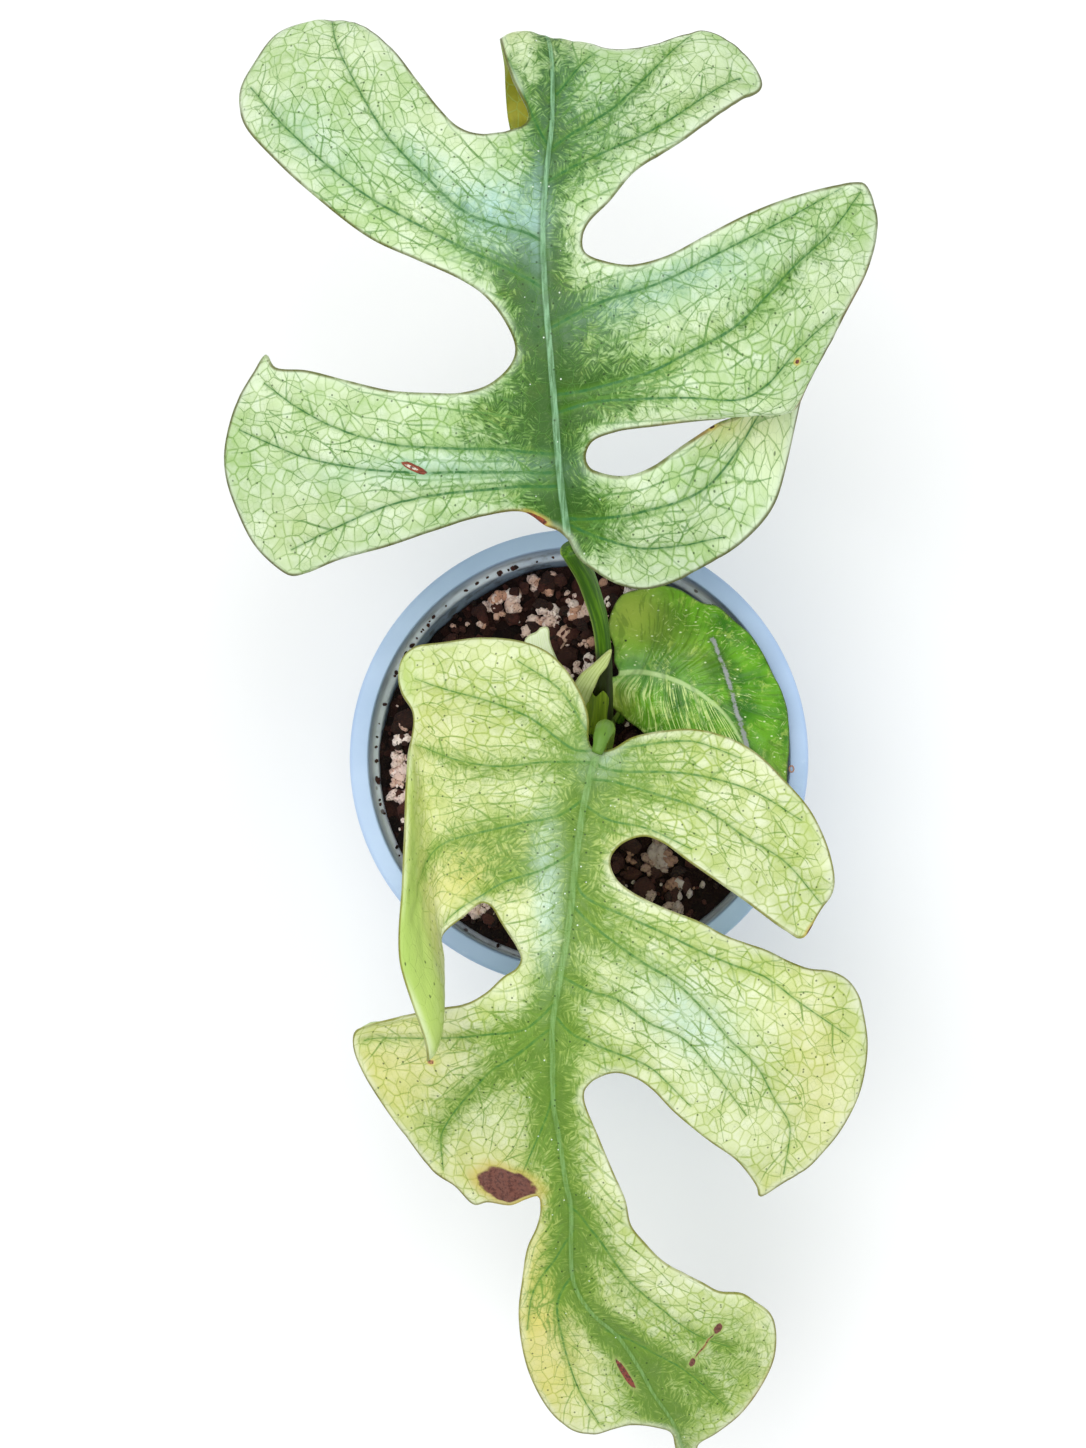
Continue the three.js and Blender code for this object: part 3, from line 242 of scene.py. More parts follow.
SPEAR = {
    "outline": [
        (2.4, 9.2), (2.9, 11.4), (3.1, 13.3), (4.3, 15.5), (5.8, 18.5), (7.9, 21), (8.7, 24.2),
        (4.3, 21.2), (0.6, 18.4), (-1.2, 15), (-0.9, 11.5),
    ],
    "midrib": [(0.6, 9.5), (1, 13), (3.5, 17.5), (8.3, 23.6)],
    "left": [],
    "right": [],
    "landmarks": [
        (2.4, 9.2, 115.5), (2.9, 11.4, 119.5), (-0.9, 11.5, 120), (4.3, 15.5, 134), (-1, 15, 130),
        (1.6, 14.6, 129), (5.8, 18.5, 139), (3.2, 17.8, 136), (0.6, 18.4, 137), (8.5, 24, 146),
        (6, 21, 141.5),
    ],
}

OLD_SHEATH = {
    "outline": [
        (1.6, 8), (1.8, 11.5), (-1, 16.5), (-4.5, 23), (-7, 29), (-7.5, 32.5), (-9.4, 32.5),
        (-10.6, 31.4), (-12.4, 30.7), (-13.6, 29.3), (-11, 23), (-6.5, 15), (-1.5, 8.5),
    ],
    "midrib": [(0.8, 10), (-5, 18), (-9, 26), (-10, 31)],
    "left": [],
    "right": [],
    "landmarks": [
        (1.6, 8, 106), (1.8, 11.5, 106.5), (-1.5, 8.5, 106), (-4.5, 23, 114), (-11, 23, 113),
        (-7.6, 21.5, 111), (-7.5, 32.5, 119.5), (-13.6, 29.3, 117), (-9.8, 31, 118),
    ],
}

# Soft patches of colour on the pressed plan: (x, y, half length, half width, turn, strength)

PATCHES_1 = {
    "green": [
        (-18, 76, 15, 7, 0, 0.65), (-10, 92, 9, 14, 0, 0.35), (6, 86, 14, 15, 20, 0.5),
        (24, 100, 28, 10, 25, 0.25), (-2, 142, 15, 22, 0, 0.12), (16, 150, 16, 9, 45, 0.2),
        (-24, 120, 22, 9, -38, 0.3), (-2, 56, 9, 8, 0, 0.5), (-12, 104, 6, 8, 0, 0.4),
        (48, 108, 26, 14, 30, 0.22), (24, 154, 20, 12, 40, 0.22), (-50, 60, 24, 12, 0, -0.2),
        (64, 118, 14, 14, 0, 0.14), (-64, 152, 22, 14, -40, 0.14), (27, 51, 14, 10, 0, -0.12),
    ],
    # Painted sheen: pale mint patches that stand in for the blade's shine
    "painted_mint_sheen": [
        (-17, 121, 9, 9, -45, 1.0), (-33, 132, 14, 5, -40, 0.55), (24, 106, 22, 6, 22, 0.6),
        (-30, 64, 26, 3.5, 0, 0.6), (-8, 119, 2.5, 14, 0, 0.6), (-60, 140, 16, 6, -42, 0.4),
        (4, 148, 12, 20, 0, 0.2),
    ],
    "gold": [(-12, 186, 14, 16, 0, 1.6), (36, 69, 12, 3.5, -12, 0.75), (-66, 52, 10, 8, 0, 0.15)],
    "curled": [],
    "scorch": [
        (42, 80, 10, 3, 10, 1.3), (30, 70.5, 9, 2, -20, 0.8), (-10, 52, 7, 3, 0, 1.0),
        (72, 104, 8, 8, 0, 0.5),
    ],
}
PATCHES_2 = {
    "green": [
        (-16, -74, 14, 12, 40, 0.3), (12, -46, 16, 8, -35, 0.25), (4, -130, 10, 28, 20, 0.25),
        (18, -160, 12, 10, -30, 0.5), (20, -10, 18, 5, -15, 0.15), (-3, -92, 6, 18, 0, 0.2),
        (40, -156, 14, 18, 0, 0.8), (20, -171, 16, 5, 0, 0.4), (-57, -36, 9, 18, 15, 0.3),
        (-26, -86, 16, 8, 40, 0.2), (-38, -12, 20, 24, 20, 0.42), (-40, -56, 12, 5, 0, 0.15),
        (-18, -27, 18, 6, 10, 0.5), (-24, -9, 12, 10, 0, 0.2), (-46, -80, 14, 14, 0, 0.25),
        (16, -40, 10, 10, 0, -0.12), (-36, -92, 13, 8, 40, 0.35),
    ],
    # Painted sheen: pale mint patches that stand in for the blade's shine
    "painted_mint_sheen": [(-7, -34, 3.5, 17, 0, 0.9), (28, -66, 15, 8, -42, 0.95), (6, -3, 6, 5, 0, 0.5)],
    "gold": [
        (-18, -28, 23, 8, 12, 1.0), (-38, -12, 16, 26, 0, 0.6), (60, -80, 10, 28, 10, 0.55),
        (-44, -80, 18, 14, 40, 0.75), (-9, -144, 12, 32, 0, 1.3), (47, -160, 4, 22, 10, 0.2),
        (48, -116, 10, 12, 0, 0.5), (-50, -30, 9, 30, 15, 0.5), (-24, -104, 14, 8, 0, 0.5),
    ],
    "curled": [(-56, -36, 22, 10, 59, 1.5), (-44, 12, 12, 5, 80, 1.0), (-47, -10, 12, 4, 80, 0.6)],
    "scorch": [(-18, -104, 12, 6, 0, 0.7), (50, -168, 12, 12, 0, 0.5)],
}
PATCHES_3 = {
    "green": [],
    # Painted sheen, a small patch near the base
    "painted_mint_sheen": [(14, 22, 6, 4, 0, 0.6)],
    "gold": [
        (14, 37, 9, 10, 0, 1.1), (9, 15, 4, 9, 40, 0.9), (50, -6, 5, 7, 0, 0.4),
        (30, 27, 9, 5, -40, 0.3),
    ],
}

# Stalks: the points that their middle line runs through, and radii spread evenly along it

STEM_FOOT = (6, 8)
STEM_PATH = [(6, 8, 62.3), (6, 8, 80), (6, 8, 98), (5.8, 8.6, 108), (6, 10, 114.5)]
STEM_RADII = [3.5, 3.5, 3.5, 3.5, 3.6, 3.5, 3.4, 3.9, 3.3, 3.2]
PETIOLE_1_PATH = [
    (6.1, 10.35, 115.4), (6.4, 12.4, 120.5), (6.9, 17.5, 128), (6.8, 25, 135), (6, 31.7, 142),
    (4.2, 37.6, 149.5), (2.2, 42.4, 156.5), (-1, 46.7, 165.2),
]
PETIOLE_1_RADII = [3.1, 2.6, 2.1, 2, 2, 2.2, 2.3, 2.5, 2.4]
PETIOLE_2_PATH = [
    (6.3, 1.7, 102), (6.8, 1.6, 108), (7.1, 2.2, 117), (7.3, 3.8, 130), (7.3, 5.2, 141),
    (7.1, 5.0, 146.6), (6.7, 4.1, 149.0), (6.2, 2.6, 150.2), (5.8, 0.8, 150.7),
    (5.2, -0.9, 150.9),
]
PETIOLE_2_RADII = [2.2, 2, 1.9, 1.9, 2, 2.1, 2.3, 2.45, 2.2, 1.3]
PETIOLE_3_PATH = [(10.6, 10.2, 97.5), (12.5, 14, 103), (12.3, 18, 107.3), (11.2, 20.4, 108.9)]
PETIOLE_3_RADII = [1.5, 1.2, 1.1, 1.2]

# The torn green sheath at petiole 1's foot. The span says which of the columns of points round
# the stalk it takes up, and the tear how high it stands, 0 to 1, at a share of its width.

SHEATH_PATH = [(5.0, 8.6, 111), (5.2, 11.0, 118), (5.5, 13.8, 123.5), (5.8, 17.6, 129.6)]
SHEATH_RADII = [3.5, 3.4, 3.1, 2.9]
SHEATH_COLUMNS = 72
SHEATH_SPAN = (-8, 30)
SHEATH_TEAR = [
    (0, 0.9), (0.3, 0.92), (0.42, 0.99), (0.5, 0.9), (0.6, 0.88), (0.7, 0.94), (0.8, 1.0),
    (0.9, 0.93), (1, 0.8),
]
SHEATH_THICKNESS = 0.35
SHEATH_STEP = 0.4

# A crease across the pressed juvenile leaf, painted with a grey highlight along it
CREASE_3 = [(34.5, 30), (37.5, 22.5), (40, 13.5), (43.5, 2), (45, -3)]

# The pot, and the uneven top of the soil in it

RIM_RADIUS = 60
POT_HEIGHT = 105
BASE_RADIUS = 43
MOUTH_RADIUS = 55
POT_WALL = 1.8
POT_FLOOR = 2.4
LEDGE_TOP = 93
LEDGE_RADIUS = 53.5
FLANGE_BOTTOM = 103.2
LIP_BOTTOM = 99
POT_SIDES = 192
POT_CREASE = math.radians(38)
DRAIN_HOLES = 8
DRAIN_DIAMETER = 8
DRAIN_CIRCLE = 60

SOIL_LEVEL = 93
SOIL_SLOPE = 0.1
SOIL_LUMP = 0.9
SOIL_TOP = 103
SOIL_FLOOR = POT_FLOOR + 0.3
SOIL_HOLLOW = (-32, 36)
SOIL_HOLLOW_WIDTH = 20
SOIL_HOLLOW_DEPTH = 5
CURL_PLACE = (55.5, -3.2)
STEM_ROOM = 4

# Floor, light and camera, in metres and watts, with the lens in mm

FLOOR_HALF_SIDE = 4.0
FLOOR_GREY = (0.9, 0.9, 0.9, 1)
WORLD_COLOUR = (0.96, 0.98, 1.0, 1)
WORLD_STRENGTH = 0.58
LIT_PLACE = (0, 0, 0.1)
LIGHTS = [
    {"name": "key", "place": (-0.3, 0.22, 1.6), "size": 1.3, "power": 17.5,
     "colour": (1.0, 0.99, 0.97)},
    {"name": "fill", "place": (0.8, -0.5, 1.2), "size": 1.0, "power": 5.5,
     "colour": (0.95, 0.98, 1.0)},
]
EYE = Vector((0.010, -0.024, 0.705))
CAMERA_TARGET = Vector((-0.0092175, 0.0086377, 0.105))
SENSOR_HEIGHT = 36.0
FOCAL_LENGTH = 57.143
NEAR_CLIP = 0.01


# Curves and distances


def curve_piece(before, start, end, after, t):
    """Points at the fractions t between two of four points of a centripetal curve."""
    pairs = ((before, start), (start, end), (end, after))
    d0, d1, d2 = (max(np.linalg.norm(b - a), 1e-6) ** 0.5 for a, b in pairs)
    change = end - start
    leave = d1 * ((start - before) / d0 - (end - before) / (d0 + d1) + change / d1)
    arrive = d1 * (change / d1 - (after - start) / (d1 + d2) + (after - end) / d2)
    bend = 3 * change - 2 * leave - arrive
    return start + leave * t + bend * t**2 + (leave + arrive - 2 * change) * t**3


def spline(points, step, closed=False):
    """Evenly spaced points on the smooth curve through a list of points."""
    p = np.array(points, float)
    if closed:
        ring = np.vstack([p[-1:], p, p[:2]])
    else:
        ring = np.vstack([2 * p[:1] - p[1:2], p, 2 * p[-1:] - p[-2:-1]])
    t = np.linspace(0, 1, 16, endpoint=False)[:, None]
    pieces = [curve_piece(*ring[i:i + 4], t) for i in range(len(ring) - 3)]
    fine = np.vstack([*pieces, ring[-2:-1]])
    lengths = np.r_[0, np.cumsum(np.linalg.norm(np.diff(fine, axis=0), axis=1))]
    places = np.linspace(0, lengths[-1], max(2, round(lengths[-1] / step)) + 1)
    spaced = np.column_stack([np.interp(places, lengths, axis) for axis in fine.T])
    return spaced[:-1] if closed else spaced


def to_line(plan, line):
    """How far each plan point is from a line, and how far along the line its foot is, 0 to 1."""
    start, along = line[:-1], np.diff(line, axis=0)
    gaps, places = [], []
    for some in np.array_split(plan, max(1, len(plan) // 1500)):
        reach = some[:, None] - start
        t = ((reach * along).sum(2) / (along**2).sum(1)).clip(0, 1)
        gap = np.linalg.norm(reach - t[..., None] * along, axis=2)
        rows, nearest = np.arange(len(some)), gap.argmin(1)
        gaps.append(gap[rows, nearest])
        places.append((nearest + t[rows, nearest]) / len(along))
    return np.concatenate(gaps), np.concatenate(places)


def nearest_on(plan, lines, spacing=0.12):
    """How far each plan point is from the nearest of some lines, and how far along it, 0 to 1."""
    fine = [spline(line, spacing) for line in lines]
    tree = KDTree(sum(len(line) for line in fine))
    along = np.concatenate([np.linspace(0, 1, len(line)) for line in fine])
    for number, (x, y) in enumerate(np.vstack(fine)):
        tree.insert((x, y, 0), number)
    tree.balance()
    found = [tree.find((x, y, 0)) for x, y in plan]
    return np.array([gap for _, _, gap in found]), along[[number for _, number, _ in found]]


def is_inside(plan, edge):
    """Whether each plan point lies inside a closed edge."""
    x, y = plan.T
    crossings = np.zeros(len(plan), int)
    for (ax, ay), (bx, by) in zip(edge, np.roll(edge, -1, axis=0)):
        if ay != by:
            crossings += ((ay > y) != (by > y)) & (x < ax + (y - ay) * (bx - ax) / (by - ay))
    return crossings % 2 == 1


def bump(distance, width):
    """A smooth hump, 1 at no distance and fading over a width."""
    return np.exp(-((distance / width) ** 2))


def rumple(plan, size, seed=0):
    """Smooth random heights, about -1 to 1, that change over a size."""
    return np.array([noise.noise((x / size, y / size, seed + 0.5)) for x, y in plan])


class Plate:
    """The smoothest sheet through a leaf's landmarks, from pressed plan places to space."""

    def __init__(self, landmarks):
        rows = np.array([(*mark[:3], *(mark[3:] or mark[:2])) for mark in landmarks], float)
        self.marks = rows[:, :2]
        count = len(rows)
        system = np.zeros((count + 3, count + 3))
        system[:count] = self.terms(self.marks)
        system[count:, :count] = system[:count, count:].T
        targets = np.zeros((count + 3, 3))
        targets[:count] = np.column_stack([rows[:, 3:] - self.marks, rows[:, 2]])
        self.weights = np.linalg.solve(system, targets)

    def terms(self, plan):
        squared = ((plan[:, None] - self.marks) ** 2).sum(2)
        kernel = 0.5 * squared * np.log(np.maximum(squared, 1e-12))
        return np.column_stack([kernel, np.ones(len(plan)), plan])

    def at(self, plan):
        moved = self.terms(plan) @ self.weights
        return np.column_stack([plan + moved[:, :2], moved[:, 2]])

    def normal(self, plan):
        small = 0.2
        along_x = self.at(plan + (small, 0)) - self.at(plan - (small, 0))
        along_y = self.at(plan + (0, small)) - self.at(plan - (0, small))
        normal = np.cross(along_x, along_y)
        return normal / np.linalg.norm(normal, axis=1)[:, None]


# Meshes


def add_object(name, vertices, faces, replaced, materials, attributes=None, smooth=True):
    """One finished piece from points in mm, with its numbers per point for the material."""
    mesh = bpy.data.meshes.new(name)
    mesh.from_pydata((np.asarray(vertices) * MM).tolist(), [], faces)
    for key, values in (attributes or {}).items():
        values = np.asarray(values, float)
        kind = "FLOAT" if values.ndim == 1 else "FLOAT_VECTOR"
        layer = mesh.attributes.new(key, kind, "POINT")
        layer.data.foreach_set("value" if values.ndim == 1 else "vector", values.ravel())
    mesh.polygons.foreach_set("use_smooth", [smooth] * len(mesh.polygons))
    for material in materials:
        mesh.materials.append(material)
    mesh.update()
    piece = bpy.data.objects.new(name, mesh)
    bpy.context.scene.collection.objects.link(piece)
    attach(piece, "root")
    if replaced:
        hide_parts(*replaced)
    return piece


class Crowd:
    """Plan points that keep some room from each other."""

    def __init__(self, cell):
        self.cell = cell
        self.cells = {}

    def add(self, point, room):
        x, y = point
        column, row = math.floor(x / self.cell), math.floor(y / self.cell)
        for dx in (-1, 0, 1):
            for dy in (-1, 0, 1):
                for u, v in self.cells.get((column + dx, row + dy), ()):
                    if (u - x) ** 2 + (v - y) ** 2 < room * room:
                        return False
        self.cells.setdefault((column, row), []).append((x, y))
        return True


def triangulated(points, count):
    """Triangles between points, of which the first ones are the closed edge round the others."""
    loop = [(i, (i + 1) % count) for i in range(count)]
    places, _, faces, *_ = delaunay_2d_cdt([Vector(p) for p in points], loop, [], 1, 1e-6)
    return np.array([tuple(p) for p in places]), np.array(faces)


def bridged(plan, faces, lines):
    """Points that part two lines where one triangle would reach from line to line."""
    pairs = np.vstack([faces[:, [0, 1]], faces[:, [1, 2]], faces[:, [2, 0]]])
    sides = np.unique(np.sort(pairs, axis=1), axis=0)
    gap, _ = nearest_on(plan, lines)
    middles = plan[sides[(gap[sides] < LINE_ROOM).all(1)]].mean(1)
    apart, _ = nearest_on(middles, lines)
    return [tuple(p) for p in middles[apart > LINE_ROOM]]


def pressed_mesh(edge, lines, step):
    """Triangles inside an edge, with points along the lines and on a lattice between them."""
    crowd = Crowd(step)
    points = [tuple(point) for point in edge]
    for point in points:
        crowd.add(point, 0)
    along = np.vstack([spline(line, 0.9 * step) for line in lines])
    points += [tuple(p) for p in along[is_inside(along, edge)] if crowd.add(p, 0.55 * step)]
    low, high = edge.min(0), edge.max(0)
    row_step = step * math.sqrt(3) / 2
    width, height = high - low
    rows, columns = np.mgrid[0:math.ceil(height / row_step), 0:math.ceil(width / step)]
    x, y = low[0] + step * (columns + 0.5 * (rows % 2)), low[1] + row_step * rows
    lattice = np.column_stack([x.ravel(), y.ravel()])
    jitter = np.random.default_rng(5).uniform(-0.08 * step, 0.08 * step, lattice.shape)
    lattice = (lattice + jitter)[is_inside(lattice, edge)]
    points += [tuple(p) for p in lattice if crowd.add(p, 0.6 * step)]
    plan, faces = triangulated(points, len(edge))
    points += bridged(plan, faces, lines)
    plan, faces = triangulated(points, len(edge))
    a, b, c = (plan[faces[:, k]] for k in range(3))
    turn = np.cross(b - a, c - a)
    faces[turn < 0] = faces[turn < 0][:, ::-1]
    return plan, faces


def evenly(line, count=24):
    """The same number of points along every line, so that lines can be mixed."""
    fine = spline(line, 0.5)
    return np.column_stack([
        np.interp(np.linspace(0, 1, count), np.linspace(0, 1, len(fine)), axis) for axis in fine.T
    ])


def wavering(line, amount, seed):
    """The line, pushed a little to either side as it goes."""
    along = np.gradient(line, axis=0)
    across = np.column_stack([-along[:, 1], along[:, 0]]) / np.linalg.norm(along, axis=1)[:, None]
    push = amount * rumple(line, 8, seed) * np.linspace(0, 1.6, len(line))
    return line + across * push[:, None]


def side_veins(veins, spacing):
    """The thinner veins that run between neighbouring main veins of one side."""
    thin = []
    for number, (first, second) in enumerate(zip(veins, veins[1:])):
        a, b = evenly(first), evenly(second)
        gap = np.linalg.norm(a - b, axis=1)[8:].mean()
        count = int(gap / spacing)
        for k in range(1, count + 1):
            share = k / (count + 1)
            thin.append(wavering((a * (1 - share) + b * share)[3:], 2.2, 3 * number + k))
    return thin


def branches(veins, spacing, length, seed):
    """Short veins that leave a main vein on alternate sides and bend towards its end."""
    random = np.random.default_rng(seed)
    found = []
    for vein in veins:
        line = spline(vein, 1.0)
        heading = np.gradient(line, axis=0)
        side = 1
        place = 4 + random.uniform(0, spacing)
        while place < len(line) - 4:
            side = -side
            ahead = heading[int(place)] / np.linalg.norm(heading[int(place)])
            turn = side * math.radians(random.uniform(34, 58))
            c, d = math.cos(turn), math.sin(turn)
            out = np.array([c * ahead[0] - d * ahead[1], d * ahead[0] + c * ahead[1]])
            reach = length * random.uniform(0.6, 1.3)
            start = line[int(place)]
            bend = start + out * reach * 0.55
            found.append(np.array([start, bend, bend + (0.7 * out + 0.5 * ahead) * reach * 0.5]))
            place += spacing * random.uniform(0.35, 0.75)
    return found


def patch_strength(plan, patches):
    total = np.zeros(len(plan))
    for x, y, half_length, half_width, turn, strength in patches:
        away = plan - (x, y)
        c, s = math.cos(math.radians(turn)), math.sin(math.radians(turn))
        along = (away[:, 0] * c + away[:, 1] * s) / half_length
        across = (away[:, 1] * c - away[:, 0] * s) / half_width
        total += strength * np.exp(-(along**2 + across**2))
    return total


def fan_place(plan, midrib, sides):
    """Where a place lies in the fan of main veins: whole numbers on veins, 20 more on the right."""
    result = np.zeros(len(plan))
    _, along = to_line(plan, midrib)
    step = np.diff(midrib, axis=0)
    index = np.minimum((along * len(step)).astype(int), len(step) - 1)
    away = plan - midrib[index]
    right = np.cross(step[index], away) < 0
    for on_side, veins, start in ((~right, sides[0], 0), (right, sides[1], 20)):
        if not veins or not on_side.any():
            continue
        gaps = np.array([to_line(plan[on_side], spline(vein, 2))[0] for vein in veins])
        order = gaps.argsort(0)
        rows = np.arange(gaps.shape[1])
        nearest, other = order[0], order[min(1, len(veins) - 1)]
        near_gap, other_gap = gaps[nearest, rows], gaps[other, rows]
        mixed = (nearest * other_gap + other * near_gap) / np.maximum(near_gap + other_gap, 1e-6)
        result[on_side] = start + mixed
    return result


def closed_faces(faces, count):
    """Faces above, the same ones turned over below, and a wall between the two rims."""
    directed = {(a, b) for f in faces.tolist() for a, b in zip(f, f[1:] + f[:1])}
    rim = sorted((a, b) for a, b in directed if (b, a) not in directed)
    wall = [(b, a, a + count, b + count) for a, b in rim]
    return faces.tolist() + (faces[:, ::-1] + count).tolist() + wall


def blade(name, leaf, slot, node, materials, step, patches=None, ribs=1.0, quilt=1.0):
    """A leaf blade with grooved veins above, ribs below and its margin thinned."""
    twig = 11.0
    edge = spline(leaf["outline"], 0.85 * step, closed=True)
    sides = (leaf["left"], leaf["right"])
    mains = [vein for side in sides for vein in side]
    thins = [vein for side in sides for vein in side_veins(side, 5.6)]
    thins += branches(mains, 0.7 * twig, twig, 11)
    plan, faces = pressed_mesh(edge, [leaf["midrib"], *mains, *thins], step)
    count = len(plan)

    far = (np.full(count, FAR), np.ones(count))
    to_rib, along_rib = nearest_on(plan, [leaf["midrib"]])
    to_vein, along_vein = nearest_on(plan, mains) if mains else far
    to_thin, along_thin = nearest_on(plan, thins) if thins else far
    to_rim, _ = to_line(plan, np.vstack([edge, edge[:1]]))
    # Distances as the material reads them, wider and so finer drawn where a vein ends
    looks = {
        "rib": to_rib / (1.05 - 0.6 * along_rib), "vein": to_vein / (1.15 - 0.7 * along_vein),
        "thin": to_thin / (1.2 - 0.9 * along_thin), "rim": to_rim,
    }

    groove = ribs * (0.8 * bump(to_rib, 2.6) - 0.5 * bump(to_rib, 1.0))
    groove += ribs * 0.45 * bump(to_vein, 1.5) + ribs * 0.16 * bump(to_thin, 0.9)
    valley = np.minimum(np.minimum(to_vein, to_thin), to_rib)
    swell = 0.35 * (1 - bump(valley, 2.5)) + 0.4 * rumple(plan, 9) + 0.15 * rumple(plan, 3, 7)
    swell *= quilt * (1 - bump(to_rim, 1.2))
    half = 0.2 + 0.2 * (1 - bump(to_rim, 1.5))
    rib = 1.5 * bump(to_rib, 1.7) + 0.55 * bump(looks["vein"], 0.9) + 0.15 * bump(to_thin, 0.6)
    sheet = Plate(leaf["landmarks"])
    place, normal = sheet.at(plan), sheet.normal(plan)
    upper = place + normal * (half - groove + swell)[:, None]
    lower = place - normal * (half + groove - swell + ribs * rib)[:, None]

    if slot == "juvenile_leaf":
        looks["fan"] = fan_place(plan, spline(leaf["midrib"], step), sides)
    for key, spots in (patches or {}).items():
        looks[key] = patch_strength(plan, spots)
    attributes = {key: np.tile(values, 2) for key, values in looks.items()}
    flat = np.column_stack([plan / 10, np.zeros(count)])
    attributes["plan"] = np.vstack([flat, flat])
    blade_faces = closed_faces(faces, count)
    piece = add_object(
        name, np.vstack([upper, lower]), blade_faces, [node], materials, attributes,
    )
    material = np.zeros(len(blade_faces), int)
    material[len(faces):2 * len(faces)] = len(materials) - 1
    piece.data.polygons.foreach_set("material_index", material)
    return piece


def tube_rings(path, radii, step, sides, profile):
    """Rings of points along a curve, each with its plan radius shaped by profile(along, angle)."""
    centres = spline(path, step)
    tangents = np.gradient(centres, axis=0)
    tangents /= np.linalg.norm(tangents, axis=1)[:, None]
    across = np.cross(tangents[0], (0, 1, 0.3))
    across /= np.linalg.norm(across)
    share = np.linspace(0, 1, len(centres))
    radius = np.interp(share, np.linspace(0, 1, len(radii)), radii)
    angles = np.linspace(0, 2 * np.pi, sides, endpoint=False)
    rings, skins = [], []
    for k, (centre, tangent) in enumerate(zip(centres, tangents)):
        across = across - tangent * (across @ tangent)
        across /= np.linalg.norm(across)
        other = np.cross(tangent, across)
        reach = (radius[k] * (1 + profile(share[k], angles)))[:, None]
        outward = np.cos(angles)[:, None] * across + np.sin(angles)[:, None] * other
        rings.append(centre + reach * outward)
        length = np.full(sides, step * k / 10)
        skins.append(np.column_stack([np.cos(angles), np.sin(angles), length]))
    return centres, tangents, radius, rings, skins


def turned_faces(rings, sides):
    """Bands between rings of points, and fans round the two end points that follow the rings."""
    turns = [(i, (i + 1) % sides) for i in range(sides)]
    last, start_point = (rings - 1) * sides, rings * sides
    faces = [(k + i, k + j, k + sides + j, k + sides + i)
             for k in range(0, last, sides) for i, j in turns]
    for i, j in turns:
        faces += [(j, i, start_point), (last + i, last + j, start_point + 1)]
    return faces


def tube(name, path, radii, node, material, profile, step=0.7, sides=28):
    """A stalk whose ends are closed by very flat cones."""
    cone = 0.2
    centres, tangents, _, rings, skins = tube_rings(path, radii, step, sides, profile)
    ends = (centres[0] - cone * tangents[0], centres[-1] + cone * tangents[-1])
    skin = np.vstack([*skins, (0, 0, 0), (0, 0, step * len(rings) / 10)])
    share = np.r_[np.repeat(np.linspace(0, 1, len(rings)), sides), 0, 1]
    attributes = {"skin": skin, "along": share}
    faces = turned_faces(len(rings), sides)
    return add_object(name, np.vstack([*rings, *ends]), faces, [node], [material], attributes)


# Materials


def srgb(red, green, blue):
    """A colour as the eye reads it, 0 to 255, for a shader."""
    shares = (red / 255, green / 255, blue / 255)
    linear = [c / 12.92 if c <= 0.04045 else ((c + 0.055) / 1.055) ** 2.4 for c in shares]
    return (*linear, 1.0)


class Value:
    """What a node gives out. Adding to it or multiplying it puts in a node that does so."""

    def __init__(self, shader, socket):
        self.shader, self.socket = shader, socket

    def __add__(self, other):
        return self.shader.math("ADD", self, other)

    def __sub__(self, number):
        return self + -number

    def __mul__(self, other):
        return self.shader.math("MULTIPLY", self, other)

    __radd__, __rmul__ = __add__, __mul__


